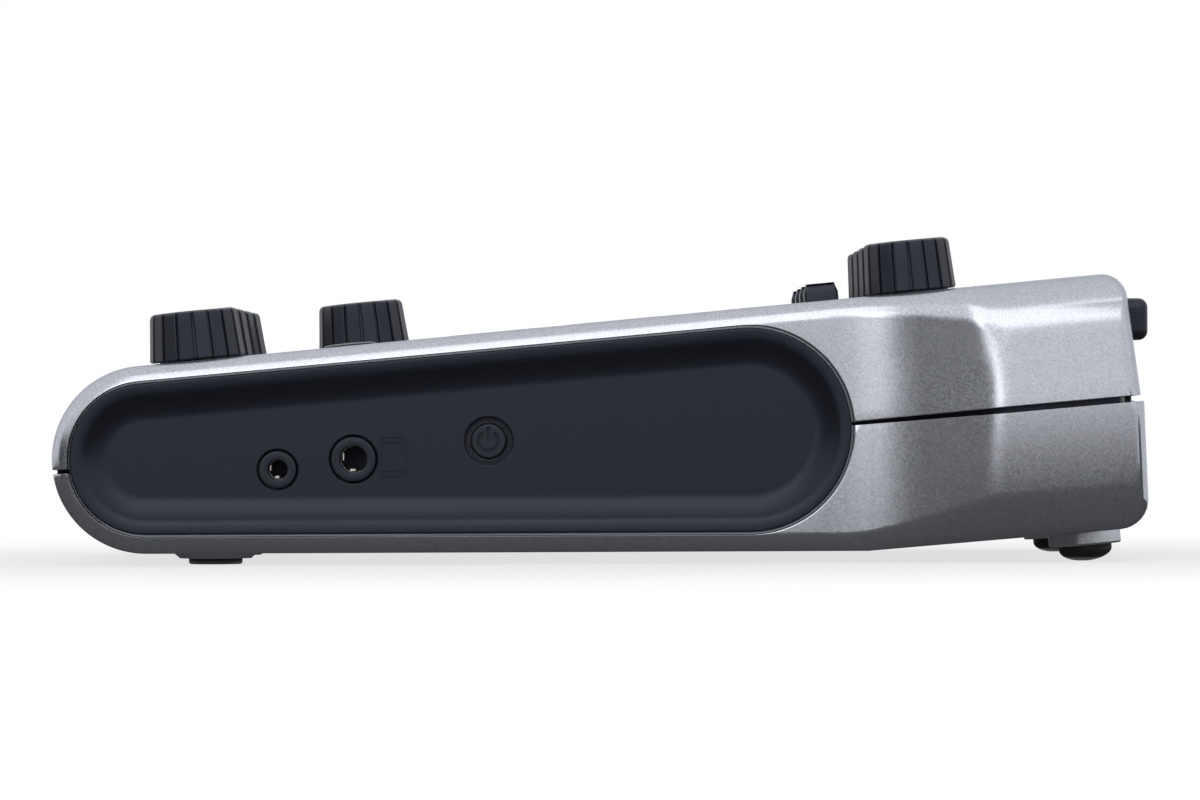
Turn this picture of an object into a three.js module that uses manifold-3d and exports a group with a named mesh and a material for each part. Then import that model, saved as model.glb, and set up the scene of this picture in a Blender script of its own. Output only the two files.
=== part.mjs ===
// A desk podcast recorder: a sloped deck with a rolled nose, dished side panels and a wider rear block
// with four microphone sockets. Millimetres, +Z up, the user sits at -Y, the rear sockets face +Y.
// The origin lies on the desk, under the middle of the recorder.

import * as THREE from 'three';
import { mergeVertices } from 'three/addons/utils/BufferGeometryUtils.js';
import Module from 'manifold-3d';

const wasm = await Module();
wasm.setup();

const degree = Math.PI / 180;

// Body outline, seen from the side. Setbacks are measured forward from the rearmost edge.
const halfDepth = 78.25;
const undersideHeight = 1.7;
const noseRadius = 13.4;
const deckAngle = 5.21 * degree;
const heelSetback = 40.25;
const heelAngle = 4.7 * degree;
const upperRearSetback = 1.5;
const lowerRearSetback = 1.1;
const upperRearLean = 7.5 * degree;
const lowerRearLean = -2.4 * degree;
const rearTopRadius = 3.6;
const rearBottomRadius = 4.2;

// Body outline, seen from above
const frontHalfWidth = 50.5;
const rearHalfWidth = 56;
const flareSetback = 41.25;
const flareLength = 20;
const edgeRadius = 2.8;
const shoulderRadius = 5;

// Shell walls and the parting line between the two shells
const wall = 2;
const sideWall = 5.6;
const rearSideWall = 2.2;
const partingNoseZ = 13.35;
const partingKneeSetback = 42.65;
const partingKneeZ = 19.8;
const partingRearZ = 23.45;
const partingGroove = 0.6;
const lipHeight = 1.5;
const lipThickness = 1;

// Clearances shared by everything that fits in something else
const gap = 0.3;
const overrun = 3;
const weldDistance = 0.0005;

// Columns of the four channels
const columnPitch = 25.8;
const columnShares = [-1.5, -0.5, 0.5, 1.5];
const columns = columnShares.map((share) => share * columnPitch);

// Rows on the deck, as shares of half the depth, measured along the slope from the point above the origin
const volumeRowShare = -0.7412;
const levelRowShare = -0.4626;
const controlRowShare = -0.0856;
const muteRowShare = 0.2581;
const switchRowShare = 0.4064;
const gainRowShare = 0.57;

// Knobs: tapered, with wide ribs parted by narrow grooves
const volumeKnob = { base: 6.9, top: 6.35, height: 6.9 };
const gainKnob = { base: 6.55, top: 6.15, height: 7.25 };
const knobLift = 0.2;
const knobShoulder = 0.6;
const knobGroove = 0.4;
const ribCount = 17;
const grooveShare = 0.2;
const knobBoreDepth = 5;
const shaftRadius = 3;
const potWidth = 9.6;

// Boards under the deck
const boardDepth = 7.5;
const boardThickness = 1.6;
const boardSideGap = 1;
const boardSeam = 1.6;
const volumeBoardReach = { front: 10, rear: 9 };
const gainBoardReach = { front: 7, rear: 7.4 };
const tactWidth = 3.6;
const tactHeight = 2.1;
const postRadius = 1.8;

// Push buttons and pads: a cap through the deck, a flange under it and a stem to its switch
const buttonTravel = 0.6;
const flangeThickness = 0.8;
const flangeMargin = 0.7;
const stemRadius = 1.2;
const mute = { width: 9.6, length: 6, corner: 1.6, proud: 0.05 };
const pad = { width: 19.6, length: 15, corner: 2, proud: 0.05 };
const padPitch = { across: 22.4, along: 17 };
const padCentreX = 22.2;
const transport = { radius: 3.75, proud: 1 };
const domeShares = [[0.4, 0], [0.85, 0.15], [1, 0.5]];

// Slide switches of the four inputs
const slider = { width: 4, length: 4.9, topLength: 4, proud: 2.6, corner: 0.5 };
const sliderTravel = 2.2;

// Display: a window let into the deck, with the display module under it
const displayWindow = { width: 40.4, length: 32, corner: 1.6, thickness: 1.1 };
const windowLedge = 2;
const windowCentreX = -23.8;
const displayModule = { width: 38, length: 29.4 };

// Dished side panels, each the hull of a small front circle and a larger rear one
const panelFront = { z: 15.2, radius: 10.8 };
const panelRear = { z: 19, radius: 14.55 };
const panelSink = 0.2;
const panelFloor = 1.8;
const panelLip = 1.7;
const panelDish = 1.9;
const panelRamp = 3.8;
const panelEdge = 0.3;
const rampShares = [[0.3, 0.12], [0.6, 0.4], [0.85, 0.8]];

// Sockets and the power button in the right side panel. Shares run from its front circle to its rear one.
const adapterJack = { share: 0.2183, z: 13.6, radius: 2.65, bore: 1.41 };
const phoneJack = { pitch: 10.8, z: 15.05, radius: 3.17, bore: 1.93 };
const powerButton = { share: 0.5681, z: 17.55, radius: 2.45, recess: 3.44, recessDepth: 0.5 };
const powerTravel = 0.5;
const jackProud = 0.2;
const jackBlock = { width: 8.6, height: 6.4, length: 13 };
const jackBoreDepth = 14;

// Headphone jacks in the nose
const headphoneJack = { z: 15.1, radius: 3.17, bore: 1.93, sink: 0.35 };

// USB socket and card slot in the left side panel
const usb = { share: 0.2311, z: 14, width: 9, height: 3.3, corner: 1.6, skin: 0.5, depth: 9, bore: 7 };
const tongueShares = { width: 0.6, height: 0.2 };
const cardSlot = { share: 0.6618, z: 17.5, width: 27, height: 4, corner: 0.8, depth: 17 };
const cardMouth = { width: 24.6, height: 2.3, depth: 15 };

// Microphone sockets in the rear, each with a release latch right over its bore. They reach in as far as
// the gain board, and the latches hang by a drop from the deck's rear edge.
const socket = { setback: 2.85, radius: 10.6, boardClearance: 3.4 };
const socketBore = { radius: 9.5, insert: 7.3, floor: 5, sink: 1.6 };
const socketPin = { radius: 1.25, place: 4.2, floor: 1.4 };
const pinAngles = [35 * degree, 145 * degree, 270 * degree];
const latch = { width: 7.4, height: 6, drop: 4, corner: 1.5, rounding: 1.2, length: 11.5 };
const latchTravel = 1.2;
const latchHousing = { width: 11.4, setback: 6.45, side: 1.4 };

// Battery bay with two cells, two contact plates and a door
const cell = { radius: 7.25, length: 50.5, nub: 2.6, nubHeight: 1 };
const bayShare = 0.1278;
const bayWall = 1.5;
const contact = { thickness: 0.8, height: 11 };
const doorThickness = 1.8;

// Feet
const footX = 35.9;
const frontFoot = { setback: 22.75, plinthTop: 6.1, plinthBottom: 5.15, rubber: 3.85, rubberHeight: 0.85 };
const footChamfer = 0.25;
const rearFoot = { setback: 8.95, boss: 5.2, bossHeight: 2.05, rubber: 3.8, rim: 0.55, domeHeight: 2.25 };
const domeSteps = 4;

// Case screws, in pits in the underside, as shares of the half width and the half depth
const screwPit = { radius: 2.9, depth: 1.1 };
const screwShares = [[0.8317, -0.4856], [0.8317, 0.3067], [0.3564, 0.639]];

// Faceting of round and curved shapes
const noseSteps = 7;
const flareSteps = 5;
const rearCornerSteps = 3;
const edgeSteps = 3;
const innerEdgeSteps = 1;
const cornerSteps = 2;
const roundSides = 20;
const smallSides = 10;
const footSides = 16;
const panelSteps = 9;

// Places worked out from the body's sizes
const heelY = halfDepth - heelSetback;
const upperRearY = halfDepth - upperRearSetback;
const lowerRearY = halfDepth - lowerRearSetback;
const flareStartY = halfDepth - flareSetback;
const flareEndY = flareStartY + flareLength;
const partingKneeY = halfDepth - partingKneeSetback;
const noseY = noseRadius - halfDepth;
const noseZ = undersideHeight + noseRadius;
const deckMiddleZ = noseZ + noseRadius / Math.cos(deckAngle) - noseY * Math.tan(deckAngle);
const panelFaceX = frontHalfWidth - panelSink;
const panelFloorX = panelFaceX - panelDish;
const pocketX = panelFloorX - panelFloor - gap;
const panelRearY = partingKneeY - panelRear.radius;
const innerHalfWidth = frontHalfWidth - sideWall;
const boardTop = -boardDepth;
const boardHalfWidth = innerHalfWidth - boardSideGap;
const volumeRow = volumeRowShare * halfDepth;
const levelRow = levelRowShare * halfDepth;
const controlRow = controlRowShare * halfDepth;
const muteRow = muteRowShare * halfDepth;
const switchRow = switchRowShare * halfDepth;
const gainRow = gainRowShare * halfDepth;
const volumeBoard = { front: volumeRow - volumeBoardReach.front, rear: volumeRow + volumeBoardReach.rear };
const gainBoard = { front: gainRow - gainBoardReach.front, rear: gainRow + gainBoardReach.rear };
const mainBoard = { front: volumeBoard.rear + boardSeam, rear: gainBoard.front - boardSeam };
const partingRearSlope = (partingRearZ - partingKneeZ) / (halfDepth - partingKneeY);
const partingAtRearZ = partingKneeZ + (upperRearY - partingKneeY) * partingRearSlope;

// Welds a geometry's shared points, drops flat triangles, turns it outward and makes it a solid.
function solidOf(geometry) {
  const bare = geometry.clone();
  bare.deleteAttribute('normal');
  bare.deleteAttribute('uv');
  const welded = mergeVertices(bare, weldDistance);
  const points = welded.attributes.position.array;
  const index = welded.index.array;
  const corner = (at) => new THREE.Vector3().fromArray(points, 3 * at);
  const triangles = [];
  let volume = 0;
  for (let at = 0; at < index.length; at += 3) {
    const [a, b, c] = [index[at], index[at + 1], index[at + 2]];
    if (a !== b && b !== c && c !== a) {
      triangles.push(a, b, c);
      volume += corner(a).dot(corner(b).cross(corner(c)));
    }
  }
  if (volume < 0) {
    triangles.reverse();
  }
  const mesh = new wasm.Mesh({
    numProp: 3,
    vertProperties: new Float32Array(points),
    triVerts: new Uint32Array(triangles),
  });
  return new wasm.Manifold(mesh);
}

function geometryOf(solid) {
  const mesh = solid.getMesh();
  const geometry = new THREE.BufferGeometry();
  geometry.setAttribute('position', new THREE.BufferAttribute(mesh.vertProperties, 3));
  geometry.setIndex(new THREE.BufferAttribute(mesh.triVerts, 1));
  geometry.computeVertexNormals();
  return geometry;
}

function joined(solids) {
  return solids.reduce((sum, solid) => sum.add(solid));
}

function cut(solid, cutters) {
  return cutters.reduce((rest, cutter) => rest.subtract(cutter), solid);
}

// Skins a row of rings that have equal numbers of points. Capped ends are closed with a fan.
function skinned(rings, capped) {
  const count = rings[0].length;
  const points = rings.flat();
  const index = [];
  for (let ring = 0; ring + 1 < rings.length; ring += 1) {
    for (let at = 0; at < count; at += 1) {
      const next = (at + 1) % count;
      const [a, b] = [ring * count + at, ring * count + next];
      index.push(a, b, b + count, a, b + count, a + count);
    }
  }
  if (capped) {
    const last = rings.length - 1;
    for (const [ring, turned] of [[0, true], [last, false]]) {
      const middle = new THREE.Vector3();
      rings[ring].forEach((point) => middle.addScaledVector(point, 1 / count));
      points.push(middle);
      for (let at = 0; at < count; at += 1) {
        const [a, b] = [ring * count + at, ring * count + ((at + 1) % count)];
        index.push(points.length - 1, turned ? b : a, turned ? a : b);
      }
    }
  }
  const geometry = new THREE.BufferGeometry();
  geometry.setFromPoints(points);
  geometry.setIndex(index);
  return geometry;
}

// Outlines: each is a function of how far the outline is drawn in
function round(radius, sides = roundSides) {
  return (inset) => Array.from({ length: sides }, (_, at) => {
    const angle = (2 * Math.PI * at) / sides;
    return new THREE.Vector2(Math.cos(angle), Math.sin(angle)).multiplyScalar(radius - inset);
  });
}

function roundedBox(width, length, corner, steps = cornerSteps) {
  return (inset) => {
    const radius = Math.max(corner - inset, corner / 4);
    const points = [];
    for (let quarter = 0; quarter < 4; quarter += 1) {
      const [sideX, sideY] = [quarter === 0 || quarter === 3 ? 1 : -1, quarter < 2 ? 1 : -1];
      for (let step = 0; step <= steps; step += 1) {
        const angle = ((quarter + step / steps) * Math.PI) / 2;
        points.push(new THREE.Vector2(
          sideX * (width / 2 - inset - radius) + radius * Math.cos(angle),
          sideY * (length / 2 - inset - radius) + radius * Math.sin(angle),
        ));
      }
    }
    return points;
  };
}

// The hull of the side panel's two circles, in side view
function panelOutline(inset) {
  const [spanY, spanZ] = [panelRearY - noseY, panelRear.z - panelFront.z];
  const lean = Math.atan2(spanZ, spanY);
  const half = Math.acos((panelFront.radius - panelRear.radius) / Math.hypot(spanY, spanZ));
  const points = [];
  for (const [circle, centreY, from, to] of [
    [panelRear, panelRearY, -half, half],
    [panelFront, noseY, half, 2 * Math.PI - half],
  ]) {
    for (let step = 0; step <= panelSteps; step += 1) {
      const angle = lean + from + ((to - from) * step) / panelSteps;
      points.push(new THREE.Vector2(
        centreY + (circle.radius - inset) * Math.cos(angle),
        circle.z + (circle.radius - inset) * Math.sin(angle),
      ));
    }
  }
  return points;
}

// Piles an outline up through levels of [height, inset]
function stack(outline, levels) {
  const rings = levels.map(([height, inset]) => (
    outline(inset).map((point) => new THREE.Vector3(point.x, point.y, height))
  ));
  return skinned(rings, true);
}

function box(fromX, toX, fromY, toY, fromZ, toZ) {
  const geometry = new THREE.BoxGeometry(toX - fromX, toY - fromY, toZ - fromZ);
  return geometry.translate((fromX + toX) / 2, (fromY + toY) / 2, (fromZ + toZ) / 2);
}

// Placing: the deck's slope, the two side faces and the nose
const onDeck = new THREE.Matrix4().makeRotationX(deckAngle).setPosition(0, 0, deckMiddleZ);
const toRight = new THREE.Matrix4().makeBasis(
  new THREE.Vector3(0, 1, 0),
  new THREE.Vector3(0, 0, 1),
  new THREE.Vector3(1, 0, 0),
);
const toLeft = new THREE.Matrix4().makeScale(-1, 1, 1).multiply(toRight);
const toNose = new THREE.Matrix4().makeRotationX(Math.PI / 2);
const toRear = new THREE.Matrix4().makeRotationX(-Math.PI / 2);

// The recorder and the two turned groups that carry pieces on the slopes
const recorder = new THREE.Group();
const deck = new THREE.Group();
deck.position.z = deckMiddleZ;
deck.rotation.x = deckAngle;
const heel = new THREE.Group();
heel.position.set(0, heelY, undersideHeight);
heel.rotation.x = heelAngle;
recorder.add(deck, heel);

function finish(color, roughness, metalness = 0) {
  return new THREE.MeshStandardMaterial({ color, roughness, metalness });
}

const silverPaint = finish(0xb0b3ba, 0.42, 0.6);
const panelPlastic = finish(0x2a2e37, 0.55);
const knobPlastic = finish(0x30333a, 0.5);
const capPlastic = finish(0x1c1e22, 0.3);
const padRubber = finish(0x5f646c, 0.6);
const footRubber = finish(0x17181a, 0.85);
const windowGlass = finish(0x0b0d10, 0.08);
const displayMetal = finish(0x9aa0a6, 0.4, 0.8);
const boardGreen = finish(0x1e4d33, 0.55);
const socketPlastic = finish(0x141518, 0.45);
const contactNickel = finish(0xc9c6bd, 0.3, 1);
const cellWrap = finish(0x3c5a78, 0.4, 0.3);

function add(parent, name, solid, material) {
  const mesh = new THREE.Mesh(geometryOf(solid), material);
  mesh.name = name;
  parent.add(mesh);
  return mesh;
}

// How far the body has flared at a depth, from 0 in front to 1 in the rear block
function flareShare(y) {
  return THREE.MathUtils.smoothstep(y, flareStartY, flareEndY);
}

function mix(front, rear, y) {
  return THREE.MathUtils.lerp(front, rear, flareShare(y));
}

// An arc of outline points with their outward normals
function arcStations(centre, radius, fromAngle, toAngle, steps) {
  return Array.from({ length: steps + 1 }, (_, step) => {
    const angle = fromAngle + ((toAngle - fromAngle) * step) / steps;
    const normal = new THREE.Vector2(Math.cos(angle), Math.sin(angle));
    return { at: normal.clone().multiplyScalar(radius).add(centre), normal };
  });
}

// The centre of an arc that touches two straight faces, each given by a point and its normal's angle
function cornerCentre(pointA, angleA, pointB, angleB, radius) {
  const [normalA, normalB] = [angleA, angleB].map((angle) => (
    new THREE.Vector2(Math.cos(angle), Math.sin(angle))
  ));
  const reachA = normalA.dot(pointA) - radius;
  const reachB = normalB.dot(pointB) - radius;
  const cross = normalA.x * normalB.y - normalA.y * normalB.x;
  return new THREE.Vector2(
    (reachA * normalB.y - reachB * normalA.y) / cross,
    (normalA.x * reachB - normalB.x * reachA) / cross,
  );
}

// Half of the side outline, from the nose tip over the deck or under the floor to the parting line
function outlineHalf(over, rearY) {
  const sign = over ? 1 : -1;
  const slope = over ? deckAngle : heelAngle;
  const lean = over ? upperRearLean : -lowerRearLean;
  const noseEnd = over ? Math.PI / 2 + deckAngle : (3 * Math.PI) / 2;
  const faceAngle = over ? Math.PI / 2 + deckAngle : -Math.PI / 2 + heelAngle;
  const start = over ? new THREE.Vector2(0, deckMiddleZ) : new THREE.Vector2(heelY, undersideHeight);
  const rearPoint = new THREE.Vector2(rearY, partingAtRearZ);
  const radius = over ? rearTopRadius : rearBottomRadius;
  const cornerAt = (reach) => cornerCentre(start, faceAngle, rearPoint, lean, reach);
  const flares = Array.from({ length: flareSteps + 1 }, (_, step) => (
    THREE.MathUtils.lerp(flareStartY, flareEndY, step / flareSteps)
  ));
  const stations = arcStations(new THREE.Vector2(noseY, noseZ), noseRadius, Math.PI, noseEnd, noseSteps);
  for (const y of [heelY, ...flares].sort((a, b) => a - b)) {
    const flat = !over && y <= heelY;
    const angle = flat ? -Math.PI / 2 : faceAngle;
    const z = flat ? start.y : start.y + (y - start.x) * Math.tan(slope);
    const normal = new THREE.Vector2(Math.cos(angle), Math.sin(angle));
    stations.push({ at: new THREE.Vector2(y, z), normal });
  }
  const corner = arcStations(cornerAt(radius), radius, faceAngle, lean, rearCornerSteps);
  stations.push(...corner.map((station) => ({ ...station, radius, cornerAt })));
  stations.push({ at: rearPoint, normal: new THREE.Vector2(1, 0) });
  return stations;
}

// A station drawn in along its normal. A corner drawn in by more than its radius is one sharp point.
function drawnIn({ at, normal, radius, cornerAt }, drawn) {
  return cornerAt && drawn > radius ? cornerAt(drawn) : at.clone().addScaledVector(normal, -drawn);
}

// The body drawn in by an inset all round: its rings run from the nose tip to the rear face
function bodySolid(inset, sideInset, rearY, steps) {
  const [over, under] = [true, false].map((top) => outlineHalf(top, rearY));
  const rings = over.map((station, at) => {
    const ring = [];
    for (const [half, side, rising] of [[station, -1, false], [station, 1, true],
      [under[at], 1, false], [under[at], -1, true]]) {
      const radius = Math.max(mix(edgeRadius, shoulderRadius, half.at.x) - inset, edgeRadius / 4);
      const width = mix(frontHalfWidth, rearHalfWidth, half.at.x) - sideInset(half.at.x);
      for (let step = 0; step <= steps; step += 1) {
        const turn = ((rising ? step : steps - step) / steps) * (Math.PI / 2);
        const point = drawnIn(half, inset + radius * (1 - Math.cos(turn)));
        ring.push(new THREE.Vector3(
          side * (width - radius + radius * Math.sin(turn)),
          point.x,
          point.y,
        ));
      }
    }
    return ring;
  });
  return solidOf(skinned(rings, false));
}

function hollow(extra) {
  const sideInset = (y) => mix(sideWall, rearSideWall, y) + extra;
  return bodySolid(wall + extra, sideInset, upperRearY, innerEdgeSteps);
}

// Everything over the parting line, lifted by a height
function overParting(lift) {
  const far = halfDepth + overrun;
  const shape = new THREE.Shape([
    new THREE.Vector2(-far, partingNoseZ + lift),
    new THREE.Vector2(-halfDepth, partingNoseZ + lift),
    new THREE.Vector2(partingKneeY, partingKneeZ + lift),
    new THREE.Vector2(far, partingKneeZ + (far - partingKneeY) * partingRearSlope + lift),
    new THREE.Vector2(far, far),
    new THREE.Vector2(-far, far),
  ]);
  const across = 2 * (rearHalfWidth + overrun);
  const geometry = new THREE.ExtrudeGeometry(shape, { depth: across, bevelEnabled: false });
  return solidOf(geometry.translate(0, 0, -across / 2).applyMatrix4(toRight));
}

// A knob, its foot at height 0, with a blind bore for the shaft
function ribbedRing(radius, groove, height) {
  const ring = [];
  const places = [[0, 0], [grooveShare / 2, groove], [grooveShare, 0]];
  for (let rib = 0; rib < ribCount; rib += 1) {
    for (const [share, depth] of places) {
      const angle = ((rib + share) / ribCount) * 2 * Math.PI;
      const reach = radius - depth;
      ring.push(new THREE.Vector3(reach * Math.cos(angle), reach * Math.sin(angle), height));
    }
  }
  return ring;
}

function knobSolid(knob) {
  const grip = skinned([
    ribbedRing(knob.base, knobGroove, 0),
    ribbedRing(knob.top, knobGroove, knob.height - knobShoulder),
    ribbedRing(knob.top - knobShoulder / 2, 0, knob.height),
  ], true);
  const bore = stack(round(shaftRadius + gap, smallSides), [[-overrun, 0], [knobBoreDepth, 0]]);
  return solidOf(grip).subtract(solidOf(bore));
}

// A board with its pots and push switches, and a shaft through the deck for each pot
function boardSolid(board, pots, tacts, rests) {
  const top = -(wall + gap);
  const solids = [solidOf(box(-boardHalfWidth, boardHalfWidth, board.front, board.rear,
    boardTop - boardThickness, boardTop))];
  for (const [x, y] of pots) {
    const half = potWidth / 2;
    solids.push(solidOf(box(x - half, x + half, y - half, y + half, boardTop - boardThickness / 2, top)));
    const shaftTop = knobLift + knobBoreDepth - gap;
    const shaft = stack(round(shaftRadius, smallSides), [[top - wall, 0], [shaftTop, 0]]);
    solids.push(solidOf(shaft.translate(x, y, 0)));
  }
  for (const [x, y] of tacts) {
    const half = tactWidth / 2;
    solids.push(solidOf(box(x - half, x + half, y - half, y + half,
      boardTop - boardThickness / 2, boardTop + tactHeight)));
  }
  for (const [x, y] of rests) {
    const half = (slider.length + flangeMargin) / 2;
    solids.push(solidOf(box(x - half, x + half, y - half, y + half,
      boardTop - boardThickness / 2, sliderFoot - gap)));
  }
  return joined(solids);
}

// A push button: levels of its cap above the deck, then the flange and the stem below it
function buttonSolid(outline, capLevels) {
  const under = -(wall + gap);
  const stemFoot = boardTop + tactHeight + buttonTravel + gap;
  const cap = stack(outline, [[under - flangeThickness / 2, 0], ...capLevels]);
  const flange = stack(outline, [[under - flangeThickness, -flangeMargin], [under, -flangeMargin]]);
  const stem = stack(round(stemRadius, smallSides), [[stemFoot, 0], [under - flangeThickness / 2, 0]]);
  return joined([cap, flange, stem].map(solidOf));
}

// A hole through the deck for an outline, at a place on the slope
function deckHole(outline, x, y) {
  const hole = stack(outline, [[-(wall + overrun), -gap], [overrun, -gap]]);
  return solidOf(hole.translate(x, y, 0).applyMatrix4(onDeck));
}

// A jack seen from its face: collar, block behind it and a blind bore. Grown, it is its own cutter.
function jackSolid(jack, collarLength, grown) {
  const half = { x: jackBlock.width / 2 + grown, y: jackBlock.height / 2 + grown };
  const front = grown > 0 ? overrun : 0;
  const collar = stack(round(jack.radius + grown, footSides), [[-collarLength - grown - gap, 0], [front, 0]]);
  const block = box(-half.x, half.x, -half.y, half.y, -collarLength - jackBlock.length - grown,
    -collarLength + grown);
  const bore = stack(round(jack.bore, smallSides), [[-jackBoreDepth, 0], [overrun, 0]]);
  const body = solidOf(collar).add(solidOf(block));
  return grown > 0 ? body : body.subtract(solidOf(bore));
}

// Places of the controls, as [x, along the slope]
const volumePlaces = columns.map((x) => [x, volumeRow]);
const gainPlaces = columns.map((x) => [x, gainRow]);
const levelPlace = [columns[0], levelRow];
const mutePlaces = columns.map((x) => [x, muteRow]);
const switchPlaces = columns.map((x) => [x, switchRow]);
const transportPlaces = columns.slice(1).map((x) => [x, levelRow]);
const padPlaces = [[-0.5, 0.5], [0.5, 0.5], [-0.5, -0.5], [0.5, -0.5]].map(([acrossShare, alongShare]) => [
  padCentreX + acrossShare * padPitch.across,
  controlRow + alongShare * padPitch.along,
]);

// Knobs
function addKnob(name, knob, [x, y]) {
  const mesh = add(deck, name, knobSolid(knob), knobPlastic);
  mesh.position.set(x, y, knobLift);
}
volumePlaces.forEach((place, at) => addKnob(`volume_knob_${at + 1}`, volumeKnob, place));
gainPlaces.forEach((place, at) => addKnob(`gain_knob_${at + 1}`, gainKnob, place));
addKnob('pad_level_knob', volumeKnob, levelPlace);

// Buttons and pads
const muteOutline = roundedBox(mute.width, mute.length, mute.corner);
const padOutline = roundedBox(pad.width, pad.length, pad.corner);
const transportOutline = round(transport.radius, footSides);

function addButton(name, solid, material, [x, y]) {
  add(deck, name, solid, material).position.set(x, y, 0);
}
mutePlaces.forEach((place, at) => {
  const levels = [[mute.proud / 2, 0], [mute.proud, mute.proud / 2]];
  addButton(`mute_button_${at + 1}`, buttonSolid(muteOutline, levels), capPlastic, place);
});
padPlaces.forEach((place, at) => {
  const levels = [[pad.proud / 3, 0], [pad.proud, pad.proud]];
  addButton(`sound_pad_${at + 1}`, buttonSolid(padOutline, levels), padRubber, place);
});
const transportLevels = domeShares.map(([riseShare, insetShare]) => (
  [riseShare * transport.proud, insetShare * transport.radius]
));
['record_button', 'play_button', 'stop_button'].forEach((name, at) => {
  addButton(name, buttonSolid(transportOutline, transportLevels), capPlastic, transportPlaces[at]);
});

// Slide switches: each rests at the left end of its slot
const sliderFoot = -(wall + gap + flangeThickness);
const sliderOutline = roundedBox(slider.width, slider.length, slider.corner);
const slotOutline = roundedBox(slider.width + sliderTravel, slider.length, slider.corner);

function sliderSolid() {
  const taper = (slider.length - slider.topLength) / 2;
  const foot = sliderFoot + flangeThickness / 2;
  const grip = stack(sliderOutline, [[foot, 0], [slider.proud / 2, 0], [slider.proud, taper]]);
  const base = stack(sliderOutline, [[sliderFoot, -flangeMargin], [-(wall + gap), -flangeMargin]]);
  return solidOf(grip).add(solidOf(base));
}
switchPlaces.forEach(([x, y], at) => {
  const mesh = add(deck, `input_switch_${at + 1}`, sliderSolid(), capPlastic);
  mesh.position.set(x - sliderTravel / 2, y, 0);
});

// Boards
add(deck, 'main_board', boardSolid(mainBoard, [levelPlace],
  [...mutePlaces, ...padPlaces, ...transportPlaces], switchPlaces), boardGreen);
add(deck, 'volume_board', boardSolid(volumeBoard, volumePlaces, [], []), boardGreen);
add(deck, 'gain_board', boardSolid(gainBoard, gainPlaces, [], []), boardGreen);

// Display
const windowOutline = roundedBox(displayWindow.width, displayWindow.length, displayWindow.corner);
const windowSolid = solidOf(stack(windowOutline, [[-displayWindow.thickness, 0], [0, 0]]));
add(deck, 'display_window', windowSolid, windowGlass).position.set(windowCentreX, controlRow, 0);
const moduleSolid = solidOf(box(-displayModule.width / 2, displayModule.width / 2, -displayModule.length / 2,
  displayModule.length / 2, boardTop + gap, -(wall + gap)));
add(deck, 'display_module', moduleSolid, displayMetal).position.set(windowCentreX, controlRow, 0);
const windowPocket = stack(windowOutline, [[-displayWindow.thickness - gap, -gap], [overrun, -gap]]);
const windowOpening = stack(windowOutline, [[-wall - overrun, windowLedge], [0, windowLedge]]);
const windowCutters = [windowPocket, windowOpening].map((geometry) => (
  solidOf(geometry.translate(windowCentreX, controlRow, 0).applyMatrix4(onDeck))
));

// Side panels, dished, with the right one's jacks and power button and the left one's sockets
function alongPanel(share) {
  return THREE.MathUtils.lerp(noseY, panelRearY, share);
}

function panelSolid(toSide) {
  const back = panelFloorX - panelFloor;
  const ramps = rampShares.map(([acrossShare, upShare]) => (
    [panelFloorX + panelDish * upShare, panelLip + panelRamp * (1 - acrossShare)]
  ));
  const bowl = stack(panelOutline, [
    [panelFloorX, panelLip + panelRamp],
    ...ramps,
    [panelFaceX, panelLip],
    [panelFaceX + overrun, panelLip],
  ]);
  const plate = stack(panelOutline, [[back, 0], [panelFaceX - panelEdge, 0], [panelFaceX, panelEdge]]);
  return solidOf(plate.applyMatrix4(toSide)).subtract(solidOf(bowl.applyMatrix4(toSide)));
}

function sideHole(outline, place, from, toSide) {
  const hole = stack(outline, [[from, -gap], [frontHalfWidth + overrun, -gap]]);
  return solidOf(hole.translate(alongPanel(place.share), place.z, 0).applyMatrix4(toSide));
}

const collarLength = panelFloorX + jackProud - (innerHalfWidth - gap);
const adapterY = alongPanel(adapterJack.share);
const jackPlaces = new Map([[adapterJack, adapterY], [phoneJack, adapterY + phoneJack.pitch]]);
function sideJack(jack, grown) {
  const matrix = new THREE.Matrix4().makeTranslation(jackPlaces.get(jack), jack.z, panelFloorX + jackProud);
  const geometry = geometryOf(jackSolid(jack, collarLength, grown));
  return solidOf(geometry.applyMatrix4(matrix.premultiply(toRight)));
}
const sideJacks = [adapterJack, phoneJack];
const sideJackCutters = sideJacks.map((jack) => sideJack(jack, gap));
add(recorder, 'adapter_jack', sideJack(adapterJack, 0), socketPlastic);
add(recorder, 'phone_jack', sideJack(phoneJack, 0), socketPlastic);

const powerFace = panelFloorX + jackProud;
const powerStemFoot = innerHalfWidth - powerTravel - gap;
const powerOutline = round(powerButton.radius);
const powerCap = stack(powerOutline, [[pocketX, 0], [powerFace - gap, 0], [powerFace, gap]]);
const powerStem = stack(round(stemRadius, smallSides), [[powerStemFoot, 0], [pocketX + gap, 0]]);
const powerSolid = solidOf(powerCap).add(solidOf(powerStem));
const powerPlace = new THREE.Matrix4().makeTranslation(alongPanel(powerButton.share), powerButton.z, 0);
add(recorder, 'power_button', solidOf(geometryOf(powerSolid)
  .applyMatrix4(powerPlace.premultiply(toRight))), capPlastic);
const powerRecess = sideHole(round(powerButton.recess - gap), powerButton,
  panelFloorX - powerButton.recessDepth, toRight);
const powerHole = sideHole(powerOutline, powerButton, pocketX - powerTravel - gap, toRight);
const powerStemHole = sideHole(round(stemRadius, smallSides), powerButton, 0, toRight);

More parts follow.
